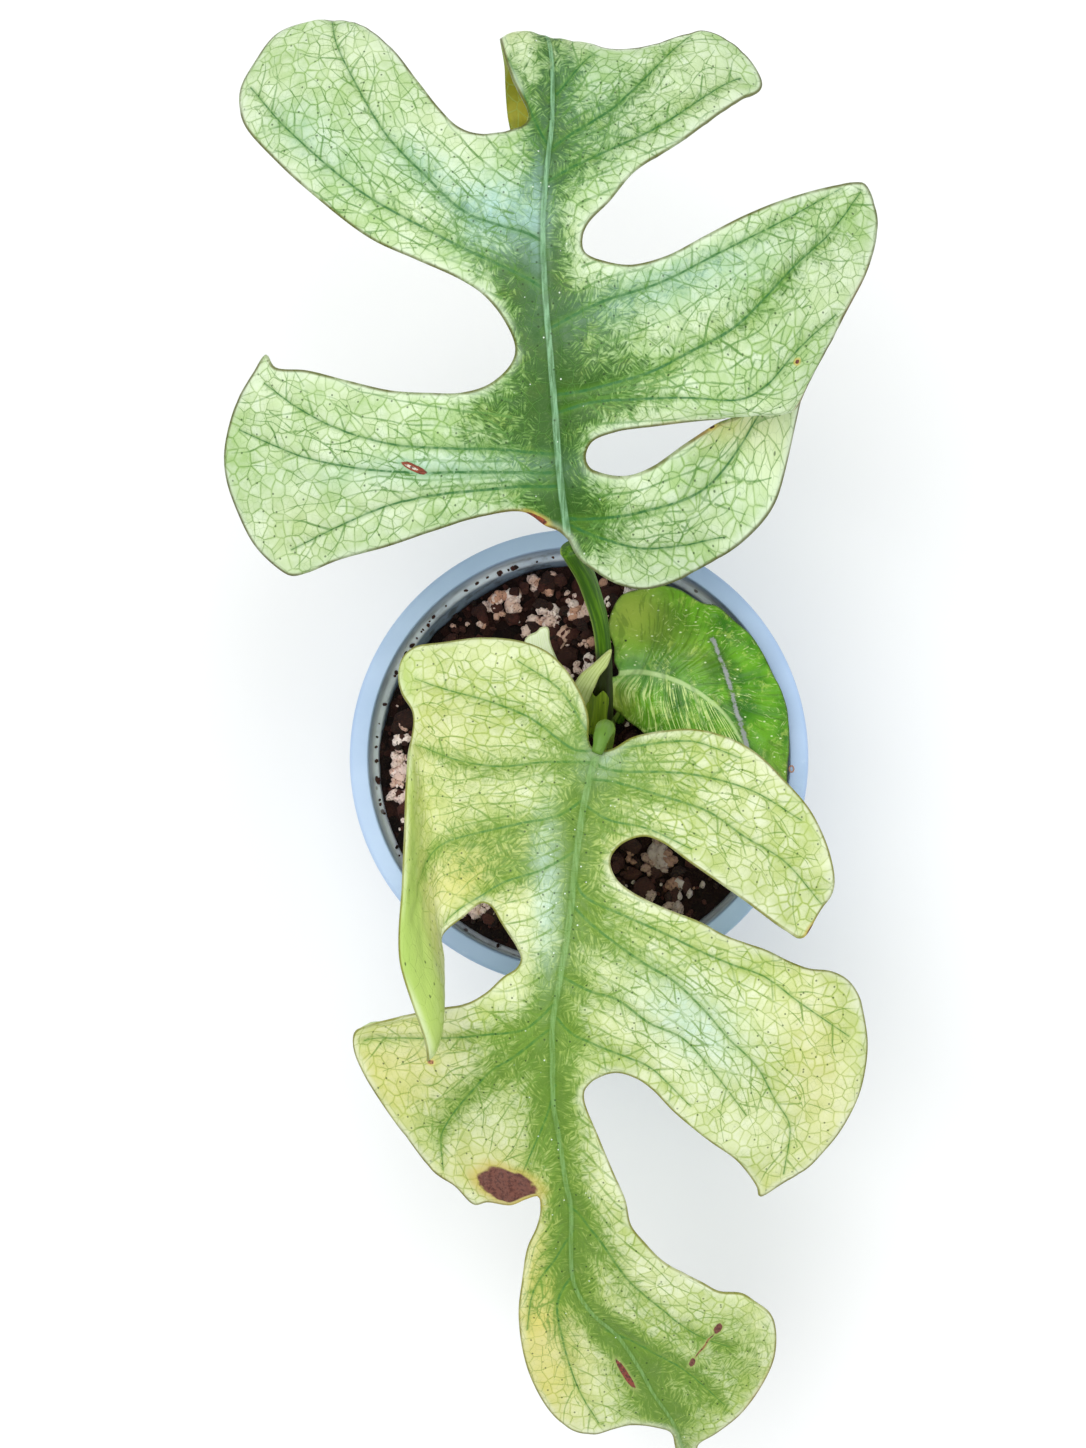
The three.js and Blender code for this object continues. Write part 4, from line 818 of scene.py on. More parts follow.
class Shader:
    """A material built node by node, on a ground colour that is painted over in layers."""

    def __init__(self, name, **constants):
        self.material = bpy.data.materials.new(name)
        self.material.use_nodes = True
        self.tree = self.material.node_tree
        self.surface = self.tree.nodes["Principled BSDF"]
        self.ground = None
        for key, value in constants.items():
            self.surface.inputs[key.replace("_", " ")].default_value = value

    def add(self, kind, inputs, out=0, **settings):
        node = self.tree.nodes.new("ShaderNode" + kind)
        for key, value in settings.items():
            setattr(node, key, value)
        for key, value in inputs.items():
            self.put(node.inputs[key], value)
        return Value(self, node.outputs[out])

    def put(self, socket, value):
        if isinstance(value, Value):
            self.tree.links.new(value.socket, socket)
        else:
            socket.default_value = value

    def finish(self, roughness, height=None, strength=1.0, distance=MM):
        """The material, with bumps of a height that stand out by a distance in metres."""
        self.put(self.surface.inputs["Base Color"], self.ground)
        self.put(self.surface.inputs["Roughness"], roughness)
        if height is not None:
            inputs = {"Strength": strength, "Distance": distance, "Height": height}
            self.put(self.surface.inputs["Normal"], self.add("Bump", inputs))
        return self.material

    def number(self, name):
        return self.add("Attribute", {}, "Fac", attribute_name=name)

    def place(self, name):
        return self.add("Attribute", {}, "Vector", attribute_name=name)

    def position(self):
        return self.add("TexCoord", {}, "Object")

    def axis(self, vector, name):
        return self.add("SeparateXYZ", {0: vector}, name)

    def math(self, operation, a, b=0.0):
        return self.add("Math", {0: a, 1: b}, operation=operation)

    def step(self, value, low, high):
        """0 below low and 1 above high, smooth between; the other way where low is higher."""
        inputs = {"Value": value, "From Min": low, "From Max": high}
        return self.add("MapRange", inputs, interpolation_type="SMOOTHSTEP")

    def mix(self, share, a, b):
        inputs = {0: share, 6: a, 7: b}
        return self.add("Mix", inputs, 2, data_type="RGBA", clamp_factor=True)

    def paint(self, share, colour):
        """Covers a share of the ground with a colour."""
        self.ground = self.mix(share, self.ground, colour)

    def noise(self, at, scale, detail=2.0, roughness=0.5, out="Fac"):
        inputs = {"Vector": at, "Scale": scale, "Detail": detail, "Roughness": roughness}
        return self.add("TexNoise", inputs, out)

    def cells(self, at, scale, feature="F1", out="Distance", space="3D"):
        inputs = {"Vector": at, "Scale": scale}
        return self.add("TexVoronoi", inputs, out, feature=feature, voronoi_dimensions=space)

    def edges(self, at, scale):
        """How far a place is from the borders of flat cells."""
        return self.cells(at, scale, "DISTANCE_TO_EDGE", space="2D")

    def stretch(self, at, scale):
        return self.add("VectorMath", {0: at, 1: scale}, operation="MULTIPLY")

    def wander(self, at, scale, amount):
        """Coordinates pushed about by noise, so that what is drawn with them is not regular."""
        push = self.noise(at, scale, 2.0, out="Color")
        centred = self.add("VectorMath", {0: push, 1: (0.5, 0.5, 0.5)}, operation="SUBTRACT")
        scaled = self.stretch(centred, (amount, amount, 0.0))
        return self.add("VectorMath", {0: at, 1: scaled}, operation="ADD")

    def spot(self, at, centre, half_sizes, turn, rough, soft):
        """1 inside an uneven oval spot, given in mm on the plan, and 0 outside."""
        inputs = {
            "Vector": at, "Location": (centre[0] / 10, centre[1] / 10, 0),
            "Rotation": (0, 0, math.radians(turn)),
            "Scale": (half_sizes[0] / 10, half_sizes[1] / 10, 1),
        }
        local = self.add("Mapping", inputs, vector_type="TEXTURE")
        length = self.add("VectorMath", {0: local}, "Value", operation="LENGTH")
        uneven = (self.noise(local, 1.6, 3.0) - 0.5) * (2 * rough)
        return self.step(length + uneven, 1 + soft, 1 - soft)


# Colours of a variegated blade. Fleck says how torn its green is, depth how strong the darkest
# green is, mesh how strong the net of fine veins is, and edge how wide the margin's line is in mm.
LEAF_LOOK = {
    "pale": srgb(217, 231, 205), "cream": srgb(199, 217, 170), "lime": srgb(154, 187, 114),
    "gold": srgb(200, 194, 96), "green": srgb(84, 134, 30), "deep": srgb(30, 74, 4),
    "net": srgb(82, 130, 54), "vein": srgb(46, 104, 50), "rib": srgb(134, 180, 138),
    # The mint colour is that of a painted sheen
    "painted_mint_sheen": srgb(164, 202, 194), "margin": srgb(86, 86, 10), "edge": 0.85, "dot": srgb(30, 58, 16),
    "olive": srgb(138, 168, 72), "fleck": 1.5, "depth": 0.82, "mesh": 0.62,
}
LEAF_LOOK_2 = dict(
    LEAF_LOOK, cream=srgb(208, 218, 160), lime=srgb(171, 190, 104), green=srgb(118, 152, 50),
    deep=srgb(70, 110, 24), vein=srgb(70, 122, 48), rib=srgb(122, 162, 92),
    pale=srgb(224, 230, 202), net=srgb(104, 142, 50), gold=srgb(214, 202, 110),
    # The mint colour here is a whiter painted sheen
    margin=srgb(122, 122, 28), edge=0.65, painted_mint_sheen=srgb(196, 222, 208), fleck=0.9, depth=0.65, mesh=0.5,
)

BROWN = srgb(116, 72, 60)
SCAR = srgb(150, 74, 48)
STRAW = srgb(196, 176, 84)
YELLOW = srgb(214, 206, 120)
FADED = srgb(150, 168, 92)
CHARRED = srgb(84, 48, 40)

# Brown marks: centre, half sizes and turn in mm and degrees, inner colour, colour around it
MARKS_1 = [
    ((-36.5, 64), (3.2, 0.8), -25, srgb(128, 62, 44), srgb(150, 190, 150)),
    ((-37.2, 64.2), (1.7, 0.3), -25, srgb(222, 214, 196), SCAR),
    ((-9, 53), (3.0, 1.1), -20, SCAR, STRAW),
    ((52, 92.5), (0.45, 0.45), 0, BROWN, STRAW),
    ((32.6, 70.6), (0.75, 0.5), 35, srgb(66, 36, 28), STRAW),
]
MARKS_2 = [
    ((-17.0, -107.4), (7.6, 4.2), -14, BROWN, STRAW),
    ((32.5, -152), (6.4, 0.22), 56, srgb(150, 110, 70), FADED),
    ((35.8, -147.2), (1.5, 0.9), 56, BROWN, FADED),
    ((29.3, -157.0), (1.3, 0.7), 70, BROWN, FADED),
    ((12, -159.5), (5.2, 0.75), -62, srgb(134, 66, 52), FADED),
    ((59, -44), (1.2, 3.6), -35, BROWN, STRAW),
    ((-34.5, -77.5), (0.8, 0.5), 20, srgb(186, 136, 92), YELLOW),
]
LARGE_MARK = 2


def strokes(s, plan):
    """Short thin strokes, laid in another direction in each small patch of the blade."""
    patch = s.cells(s.wander(plan, 4.0, 0.2), 3.2, out="Color")
    angle = s.axis(patch, "X") * (2 * math.pi)
    turned = s.add("VectorRotate", {"Vector": plan, "Angle": angle}, rotation_type="Z_AXIS")
    return s.noise(s.stretch(turned, (3.4, 19.0, 1.0)), 1.0, 3.0, 0.55)


def vein_net(s, plan):
    """Fine veins in meshes about 3 mm wide, with meshes half as wide inside them."""
    at = s.wander(plan, 3.0, 0.07)
    wide = s.edges(at, 3.5)
    tint = s.axis(s.cells(at, 3.5, out="Color", space="2D"), "X")
    fade = s.step(s.noise(plan, 1.5, 4.0, 0.6), 0.36, 0.62)
    net = s.step(wide, 0.05, 0.016) * (fade * 0.5 + 0.45)
    small = s.edges(s.wander(plan, 7.0, 0.03), 6.4)
    small_net = s.step(small, 0.055, 0.02) * (fade * 0.45)
    return net, small_net, fade, tint, s.step(wide, 0.015, 0.17)


def pale_ground(s, plan, look, tint, middles):
    """The ground drifts between cream and lime and is paler in the middle of each mesh."""
    drift = s.noise(plan, 0.5, 5.0, 0.6)
    s.ground = s.mix(s.step(drift, 0.36, 0.64), look["cream"], look["lime"])
    s.paint(s.step(tint, 0.55, 0.0) * 0.3, look["lime"])
    patchy = s.step(s.noise(plan, 2.2, 4.0, 0.6), 0.35, 0.7)
    s.paint(middles * (patchy * 0.4 + tint * 0.35), look["pale"])
    s.paint(s.number("gold") * (drift * 0.8 + 0.2), look["gold"])
    return drift


def green_cover(s, plan, look, rib, vein):
    """Green gathers along the midrib and main veins and breaks up in short strokes outwards."""
    along_rib = s.step(rib, 34.0, 0.0) * 0.45 + s.step(rib, 12.0, 0.5) * 0.4
    amount = s.number("green") + along_rib + s.step(vein, 7.5, 0.3) * 0.36
    fleck = (s.noise(s.wander(plan, 3.0, 0.3), 3.4, 6.0, 0.68) - 0.5) * look["fleck"]
    stroke = strokes(s, plan)
    broken = amount + (fleck + (stroke - 0.5) * 0.9)
    s.paint(s.step(broken, 0.25, 1.05) * 0.92, look["green"])
    s.paint(s.step(stroke, 0.48, 0.36) * s.step(amount, 0.1, 0.5) * 0.36, look["lime"])
    patchy = s.step(s.noise(s.wander(plan, 2.0, 0.4), 1.5, 5.0, 0.65), 0.5, 0.64)
    s.paint(patchy * s.step(amount, 0.2, 0.8) * 0.5, look["olive"])
    darker = amount + (fleck + (stroke - 0.5) * 2.6)
    s.paint(s.step(darker, 0.6, 1.35) * look["depth"], look["deep"])


def draw_veins(s, plan, look, nets, fade, rib, vein):
    """From the net of fine veins to the midrib, which is pale in streaks between dark edges."""
    s.paint(nets * look["mesh"], look["net"])
    s.paint(s.step(s.number("thin"), 0.4, 0.12) * (fade * 0.45 + 0.35), look["net"])
    s.paint(s.step(vein, 1.6, 0.2) * 0.42, look["green"])
    dashes = s.step(s.noise(plan, 5.0, 3.0, 0.6), 0.4, 0.6) * 0.4 + 0.5
    s.paint(s.step(vein, 0.46, 0.18) * dashes, look["vein"])
    s.paint(s.step(rib, 1.8, 0.9) * 0.45, look["deep"])
    streak = s.noise(s.stretch(plan, (9.0, 0.8, 1.0)), 2.0, 4.0, 0.6)
    s.paint(s.step(rib, 0.95, 0.6) * (s.step(streak, 0.4, 0.62) * 0.55 + 0.3), look["rib"])


def draw_dots(s, plan, look, rib):
    """Dark dots all over, and pale flecks near the midrib."""
    kind = s.axis(s.cells(plan, 2.7, out="Color", space="2D"), "X")
    dots = s.step(s.cells(plan, 2.7, space="2D"), 0.09, 0.04) * s.step(kind, 0.45, 0.6)
    s.paint(dots * 0.72, look["dot"])
    flecks = s.step(s.cells(plan, 3.4), 0.085, 0.05) * s.step(rib, 14.0, 3.0)
    s.paint(flecks * 0.75, srgb(232, 244, 230))


def draw_margin(s, plan, look, rim):
    """A pale band, then a thin olive line that comes and goes, brown where scorched."""
    scorch = s.number("scorch")
    band = s.step(rim, 2.4, 0.6) * s.step(s.noise(plan, 0.8), 0.35, 0.6)
    s.paint(band * 0.45, look["pale"])
    s.paint(s.step(rim, 1.5, 0.5) * (scorch * 0.6), STRAW)
    broken = s.step(s.noise(plan, 1.2), 0.35, 0.55) * 0.5 + 0.45
    line = s.step(rim, look["edge"], 0.25) * broken
    brown = scorch * s.step(rim, 0.6, 0.25)
    colour = s.mix(scorch, look["margin"], srgb(142, 92, 38))
    s.paint(s.math("MAXIMUM", line, brown) * 0.9, colour)


def draw_marks(s, plan, marks, rim):
    """Brown marks with a halo. A large one leaves the margin free."""
    for centre, half_sizes, turn, inner, outer in marks:
        halo = s.spot(plan, centre, [1.25 * h + 0.3 for h in half_sizes], turn, 0.25, 0.25)
        heart = s.spot(plan, centre, half_sizes, turn, 0.3, 0.08)
        if min(half_sizes) > LARGE_MARK:
            heart = heart * s.step(rim, 0.5, 1.0)
        s.paint(halo * 0.7, outer)
        char = s.mix(s.step(s.noise(plan, 10.0, 4.0, 0.7), 0.45, 0.6), inner, CHARRED)
        s.paint(heart, char)


def leaf_upper(name, look, marks):
    s = Shader(name, Coat_Weight=0.06, Coat_Roughness=0.35, Specular_IOR_Level=0.24)
    plan = s.place("plan")
    rib, vein, rim = (s.number(key) for key in ("rib", "vein", "rim"))
    net, small_net, fade, tint, middles = vein_net(s, plan)
    drift = pale_ground(s, plan, look, tint, middles)
    green_cover(s, plan, look, rib, vein)
    # Painted sheen: the mint patches, broken up by noise, stand in for the blade's shine
    painted_sheen_spread = s.noise(s.wander(plan, 5.0, 0.3), 3.6, 5.0, 0.65) * 1.5 - 0.1
    s.paint(s.number("painted_mint_sheen") * painted_sheen_spread, look["painted_mint_sheen"])
    draw_veins(s, plan, look, net + small_net, fade, rib, vein)
    curled_green = s.mix(drift, srgb(152, 186, 84), srgb(184, 204, 112))
    s.paint(s.number("curled") * 0.8, curled_green)
    draw_dots(s, plan, look, rib)
    draw_margin(s, plan, look, rim)
    draw_marks(s, plan, marks, rim)
    height = net * -0.6 + small_net * -0.3 + s.noise(plan, 16.0, 3.0) * 0.5
    roughness = s.noise(plan, 3.0, 3.0) * 0.2 + 0.34
    return s.finish(roughness, height, 0.45, 0.0004)


def leaf_lower(name, base, vein_colour):
    s = Shader(name, Specular_IOR_Level=0.25)
    plan = s.place("plan")
    s.ground = s.mix(s.step(s.noise(plan, 0.6, 4.0), 0.35, 0.65), base, srgb(176, 196, 130))
    patchy = s.step(s.noise(plan, 2.0, 3.0), 0.4, 0.6)
    olive = s.mix(patchy, srgb(128, 128, 26), srgb(150, 146, 44))
    s.paint(s.step(s.number("gold"), 0.4, 1.2), olive)
    net = s.step(s.edges(s.wander(plan, 3.0, 0.07), 2.7), 0.07, 0.01)
    s.paint(net * 0.35, vein_colour)
    s.paint(s.step(s.number("thin"), 0.6, 0.15) * 0.4, vein_colour)
    s.paint(s.step(s.number("vein"), 1.2, 0.4) * 0.7, vein_colour)
    s.paint(s.step(s.number("rib"), 2.2, 1.0) * 0.7, srgb(190, 206, 140))
    return s.finish(0.55, net * 0.6, 0.3, 0.0004)


def pale_streaks(s, plan, rib, fan, gold):
    """Pale streaks follow the side veins of the juvenile blade, with blotches and scratches."""
    flow = s.add("CombineXYZ", {"X": fan * 8.5, "Y": rib * 0.05, "Z": 0.0})
    streak = s.noise(s.wander(flow, 1.2, 0.35), 2.6, 3.0, 0.62)
    right_side = s.step(fan, 19.0, 20.0)
    rare = right_side * -0.13 + 0.64
    fine = s.add("MapRange", {"Value": streak, "From Min": rare, "From Max": rare + 0.05})
    broken = s.step(s.noise(plan, 4.2, 4.0, 0.6), right_side * -0.14 + 0.42, 0.58)
    blotch = s.step(s.noise(s.wander(plan, 3.0, 0.4), 2.4, 6.0, 0.75), 0.53, 0.64)
    s.paint(blotch * 0.5, srgb(176, 202, 96))
    scratch = s.step(strokes(s, plan), 0.57, 0.68) * s.step(s.noise(plan, 1.6, 3.0), 0.42, 0.58)
    s.paint(scratch * 0.7, srgb(204, 222, 150))
    s.paint(fine * broken * (right_side * 0.3 + 0.6), srgb(204, 224, 142))
    s.paint(gold * 0.8, srgb(150, 168, 66))
    s.paint(s.step(streak, 0.46, 0.38) * 0.45, srgb(66, 100, 16))


def small_leaf_upper():
    """The juvenile blade: strong green with pale streaks, specks, dots, a small painted sheen, and
    one crease with a painted grey highlight.
    """
    s = Shader("juvenile_leaf_upper", Coat_Weight=0.1, Coat_Roughness=0.25, Specular_IOR_Level=0.25)
    plan = s.place("plan")
    rib, vein, rim, fan, gold = (s.number(key) for key in ("rib", "vein", "rim", "fan", "gold"))
    drift = s.step(s.noise(plan, 1.1, 4.0), 0.35, 0.65)
    s.ground = s.mix(drift, srgb(44, 108, 4), srgb(98, 160, 28))
    pale_streaks(s, plan, rib, fan, gold)
    # Painted sheen in a muted green
    s.paint(s.number("painted_mint_sheen") * 0.7, srgb(96, 152, 96))
    specks = s.step(s.cells(s.stretch(plan, (1.0, 1.6, 1.0)), 3.4), 0.13, 0.07)
    s.paint(specks * 0.75, srgb(222, 236, 190))
    s.paint(s.step(s.cells(plan, 2.1), 0.08, 0.05) * s.step(gold, 0.2, 0.5), srgb(30, 50, 12))
    s.paint(s.step(rib, 0.95, 0.35) * 0.8, srgb(182, 208, 140))
    s.paint(s.step(vein, 0.7, 0.15) * 0.35, srgb(52, 96, 26))
    # Painted highlight: a grey line along the crease, with a darker green band beside it
    crease = s.number("crease") + s.noise(plan, 5.0, 4.0, 0.7) * 2.2
    s.paint(s.step(crease, 2.6, 1.9) * 0.5, srgb(40, 78, 16))
    s.paint(s.step(crease, 1.75, 1.35) * 0.85, srgb(150, 152, 156))
    s.paint(s.step(rim, 0.5, 0.15) * 0.5, srgb(70, 84, 20))
    ripple = s.math("SINE", fan * 44.0) * s.step(rib, 1.0, 4.0)
    height = ripple * 0.35 + s.noise(plan, 12.0, 3.0) * 0.6
    return s.finish(s.noise(plan, 3.0, 3.0) * 0.2 + 0.24, height, 0.4, 0.0005)


def sheath_material(name, pale, green):
    """A papery sheath with lines along it and a darker rim."""
    s = Shader(name, Coat_Weight=0.15, Coat_Roughness=0.3)
    plan = s.place("plan")
    across = s.add("CombineXYZ", {"X": s.number("rib") * 1.6, "Y": 0.0, "Z": 0.0})
    lines = s.noise(across, 1.4, 3.0)
    blotch = s.noise(plan, 4.0, 4.0)
    s.ground = s.mix(s.step(lines, 0.4, 0.62), pale, green)
    s.paint(s.step(blotch, 0.5, 0.7) * 0.5, pale)
    s.paint(s.step(s.number("rim"), 0.4, 0.1) * 0.6, srgb(150, 156, 80))
    height = lines + s.noise(plan, 30.0) * 0.3
    return s.finish(blotch * 0.2 + 0.36, height, 0.4, 0.0003)


def stalk_material(name, light, dark, tip=None, foot=None):
    """Green skin with lengthwise streaks and a few dark dots, its foot or tip in another colour."""
    s = Shader(name, Coat_Weight=0.05, Coat_Roughness=0.3, Specular_IOR_Level=0.22)
    skin, along = s.place("skin"), s.number("along")
    streak = s.noise(s.stretch(skin, (2.2, 2.2, 0.35)), 1.6, 4.0, 0.6)
    s.ground = s.mix(s.step(streak, 0.38, 0.72), dark, light)
    s.paint(s.step(s.axis(skin, "X"), 0.72, 0.97) * 0.7, srgb(150, 178, 76))
    if tip:
        s.paint(s.step(along, 0.72, 0.95), tip)
    # A foot colour, where one is given, is painted shade
    if foot:
        s.paint(s.step(along, 0.44, 0.37) * 0.9, foot)
    dots = s.step(s.cells(s.stretch(skin, (1.0, 1.0, 1.6)), 1.5), 0.12, 0.07)
    s.paint(dots * 0.8, srgb(36, 56, 14))
    height = streak + s.noise(skin, 18.0, 3.0) * 0.4
    return s.finish(streak * 0.2 + 0.34, height, 0.35, 0.0004)


def pot_material():
    """Moulded blue-grey plastic, faint scuffs, earth dust inside, painted shade and a painted light
    ring.
    """
    s = Shader("pot_plastic", Specular_IOR_Level=0.42)
    at, inner, shoulder = s.position(), s.number("inner"), s.number("shoulder")
    cloud = s.step(s.noise(at, 28.0, 4.0), 0.35, 0.65)
    s.ground = s.mix(cloud, srgb(164, 189, 222), srgb(180, 203, 234))
    scratch = s.noise(s.wander(at, 30.0, 0.02), 160.0, 5.0, 0.7)
    s.paint(s.step(scratch, 0.6, 0.72) * 0.35, srgb(204, 220, 242))
    # Painted shade: the top of the rim is darker at the front and back
    rim_front_back_painted_shade = s.step(s.math("ABSOLUTE", s.axis(at, "Y")), 0.034, 0.058)
    top = s.step(s.axis(at, "Z"), 0.1, 0.104)
    s.paint(rim_front_back_painted_shade * top * 0.6, srgb(134, 158, 194))
    # Painted shade: the inside wall is darker below the rim
    s.paint(inner * 0.5, srgb(112, 124, 138))
    dust = s.step(s.noise(at, 120.0, 5.0, 0.7), 0.5, 0.62)
    s.paint(inner * dust * 0.6, srgb(58, 50, 48))
    # Painted light: a pale ring on the inner ledge
    s.paint(shoulder * s.step(s.noise(at, 60.0, 4.0), 0.8, 0.4), srgb(236, 244, 255))
    spatter = s.step(s.cells(at, 260.0), 0.22, 0.12) * s.step(s.noise(at, 40.0, 2.0), 0.5, 0.6)
    s.paint(inner * spatter * 0.8, srgb(74, 42, 32))
    roughness = s.noise(at, 90.0, 4.0) * 0.22 + 0.36
    return s.finish(roughness, s.noise(at, 1500.0, 2.0) + scratch * 0.6, 0.14, 0.0002)


def paint_shade_under_leaf(s, at):
    """Painted shade: soil and grit under leaf 2, in the front right quarter of the pot, are painted
    darker.
    """
    share = s.step(s.axis(at, "X"), -0.03, -0.01) * s.step(s.axis(at, "Y"), -0.002, -0.02)
    s.paint(share * 0.5, srgb(30, 15, 10))


def soil_material():
    s = Shader("soil_bed", Specular_IOR_Level=0.2)
    at = s.position()
    tint = s.step(s.cells(at, 420.0, out="Color"), 0.2, 0.9)
    fine = s.noise(at, 900.0, 4.0, 0.7)
    s.ground = s.mix(tint, srgb(20, 11, 9), srgb(54, 28, 23))
    s.paint(s.step(fine, 0.6, 0.72) * 0.35, srgb(96, 62, 48))
    # Painted shade under leaf 2
    paint_shade_under_leaf(s, at)
    return s.finish(0.85, s.cells(at, 420.0) * -1.2 + fine, 1.0, 0.0015)


def bark_material():
    s = Shader("soil_bark", Specular_IOR_Level=0.4)
    fibre = s.noise(s.stretch(s.place("grain"), (1.0, 5.0, 5.0)), 6.0, 4.0, 0.65)
    s.ground = s.mix(s.number("tint"), srgb(22, 10, 8), srgb(76, 34, 27))
    s.paint(s.step(fibre, 0.5, 0.7) * 0.5, srgb(140, 84, 62))
    s.paint(s.step(s.noise(s.position(), 300.0, 3.0), 0.55, 0.7) * 0.4, srgb(24, 13, 11))
    return s.finish(fibre * 0.35 + 0.5, fibre, 0.8, 0.0008)


def pumice_material():
    s = Shader("soil_pumice", Specular_IOR_Level=0.3)
    at = s.position()
    s.ground = s.mix(s.number("tint"), srgb(196, 144, 120), srgb(250, 234, 230))
    stain = s.noise(at, 260.0, 5.0, 0.65)
    s.paint(s.step(stain, 0.5, 0.7) * 0.6, srgb(168, 120, 96))
    hole = s.step(s.cells(at, 1300.0), 0.28, 0.12)
    s.paint(hole * 0.6, srgb(96, 66, 54))
    # Painted shade under leaf 2
    paint_shade_under_leaf(s, at)
    return s.finish(0.8, hole * -1.0 + s.noise(at, 700.0, 4.0), 0.8, 0.0008)


# The pot


def pot_profile():
    """Radius and height along the pot's section, with rounded edges, from the floor's middle."""
    corner = 0.7
    inner_foot = BASE_RADIUS - POT_WALL
    return [
        (0.001, 0), (BASE_RADIUS - 6, 0), (BASE_RADIUS - 1, 0), (BASE_RADIUS - 0.3, 0.3),
        (BASE_RADIUS, 1), (BASE_RADIUS + 4.1, 31), (BASE_RADIUS + 8.2, 61),
        (LEDGE_RADIUS + POT_WALL, LEDGE_TOP - 1), (MOUTH_RADIUS + POT_WALL, LEDGE_TOP + 1),
        (MOUTH_RADIUS + POT_WALL, FLANGE_BOTTOM), (RIM_RADIUS - POT_WALL, FLANGE_BOTTOM),
        (RIM_RADIUS - POT_WALL, LIP_BOTTOM), (RIM_RADIUS - 0.4, LIP_BOTTOM),
        (RIM_RADIUS, LIP_BOTTOM + 0.5), (RIM_RADIUS, POT_HEIGHT - corner - 0.3),
        (RIM_RADIUS - 0.1, POT_HEIGHT - 0.6), (RIM_RADIUS - 0.35, POT_HEIGHT - 0.25),
        (RIM_RADIUS - corner, POT_HEIGHT - 0.08), (RIM_RADIUS - 1.2, POT_HEIGHT),
        (RIM_RADIUS - 2.6, POT_HEIGHT - 0.12), (MOUTH_RADIUS + 0.9, POT_HEIGHT),
        (MOUTH_RADIUS + 0.35, POT_HEIGHT - 0.12), (MOUTH_RADIUS + 0.08, POT_HEIGHT - 0.45),
        (MOUTH_RADIUS, POT_HEIGHT - 1), (MOUTH_RADIUS - 0.2, LEDGE_TOP + 1.6),
        (MOUTH_RADIUS - 0.5, LEDGE_TOP + 0.9), (LEDGE_RADIUS + 0.3, LEDGE_TOP + 0.5),
        (LEDGE_RADIUS, LEDGE_TOP), (LEDGE_RADIUS - 0.2, LEDGE_TOP - 2),
        (inner_foot + 8, 62), (inner_foot + 4, 31),
        (inner_foot, POT_FLOOR), (0.001, POT_FLOOR),
    ]


def circle_points(radius, count, z, centre=(0, 0)):
    """Points spaced evenly round a circle at one height."""
    angles = [2 * math.pi * i / count for i in range(count)]
    return [(centre[0] + radius * math.cos(a), centre[1] + radius * math.sin(a), z) for a in angles]


def drill_mesh():
    """Upright bars through the pot's floor, one for each drain hole."""
    vertices, faces = [], []
    sides, spare = 24, 2
    for x, y, _ in circle_points(DRAIN_CIRCLE / 2, DRAIN_HOLES, 0):
        start = len(vertices)
        for z in (-spare, POT_FLOOR + spare):
            vertices += circle_points(DRAIN_DIAMETER / 2, sides, z, (x, y))
        faces.append(tuple(start + i for i in reversed(range(sides))))
        faces.append(tuple(start + sides + i for i in range(sides)))
        for i in range(sides):
            j = (i + 1) % sides
            faces.append((start + i, start + j, start + sides + j, start + sides + i))
    mesh = bpy.data.meshes.new("drill")
    mesh.from_pydata((np.array(vertices) * MM).tolist(), [], faces)
    return mesh


def drill(piece):
    """Cuts the drain holes through the pot's floor."""
    cutter = bpy.data.objects.new("drill", drill_mesh())
    bpy.context.scene.collection.objects.link(cutter)
    cut = piece.modifiers.new("drain", "BOOLEAN")
    cut.operation, cut.object, cut.solver = "DIFFERENCE", cutter, "EXACT"
    graph = bpy.context.evaluated_depsgraph_get()
    finished = bpy.data.meshes.new_from_object(piece.evaluated_get(graph))
    piece.modifiers.remove(cut)
    piece.data = finished
    bpy.data.objects.remove(cutter)


def add_pot():
    """The shell, turned round its axis. Inner says where its inside gets dust and painted shade,
    shoulder where its ledge gets a painted light ring.
    """
    profile = np.array(pot_profile())
    angles = np.linspace(0, 2 * np.pi, POT_SIDES, endpoint=False)
    vertices = [(r * math.cos(a), r * math.sin(a), z) for r, z in profile for a in angles]
    vertices += [(0, 0, 0), (0, 0, POT_FLOOR)]
    faces = turned_faces(len(profile), POT_SIDES)
    height = np.array(vertices)[:, 2]
    mouth = pot_profile().index((MOUTH_RADIUS, POT_HEIGHT - 1))
    below_rim = np.clip((POT_HEIGHT - height) / 4, 0, 1)
    inner = (np.arange(len(vertices)) >= mouth * POT_SIDES) * below_rim
    shoulder = inner * (np.abs(height - LEDGE_TOP - 0.6) < 1.1)
    pot = add_object("pot_shell", vertices, faces, ["pot"], [pot_material()],
                     {"inner": inner, "shoulder": shoulder})
    drill(pot)
    pot.data.set_sharp_from_angle(angle=POT_CREASE)


# The substrate


def seeded_random(seed):
    """The generator that the solid's grit was placed with, so that grains lie in its places."""
    mask, state = 0xFFFFFFFF, seed

    def draw():
        nonlocal state
        state = (state + 0x6D2B79F5) & mask
        t = ((state ^ (state >> 15)) * (1 | state)) & mask
        t = ((t + (((t ^ (t >> 7)) * (61 | t)) & mask)) & mask) ^ t
        return (t ^ (t >> 14)) / (mask + 1)

    return draw


def between(draw, low, high):
    return low + (high - low) * draw()


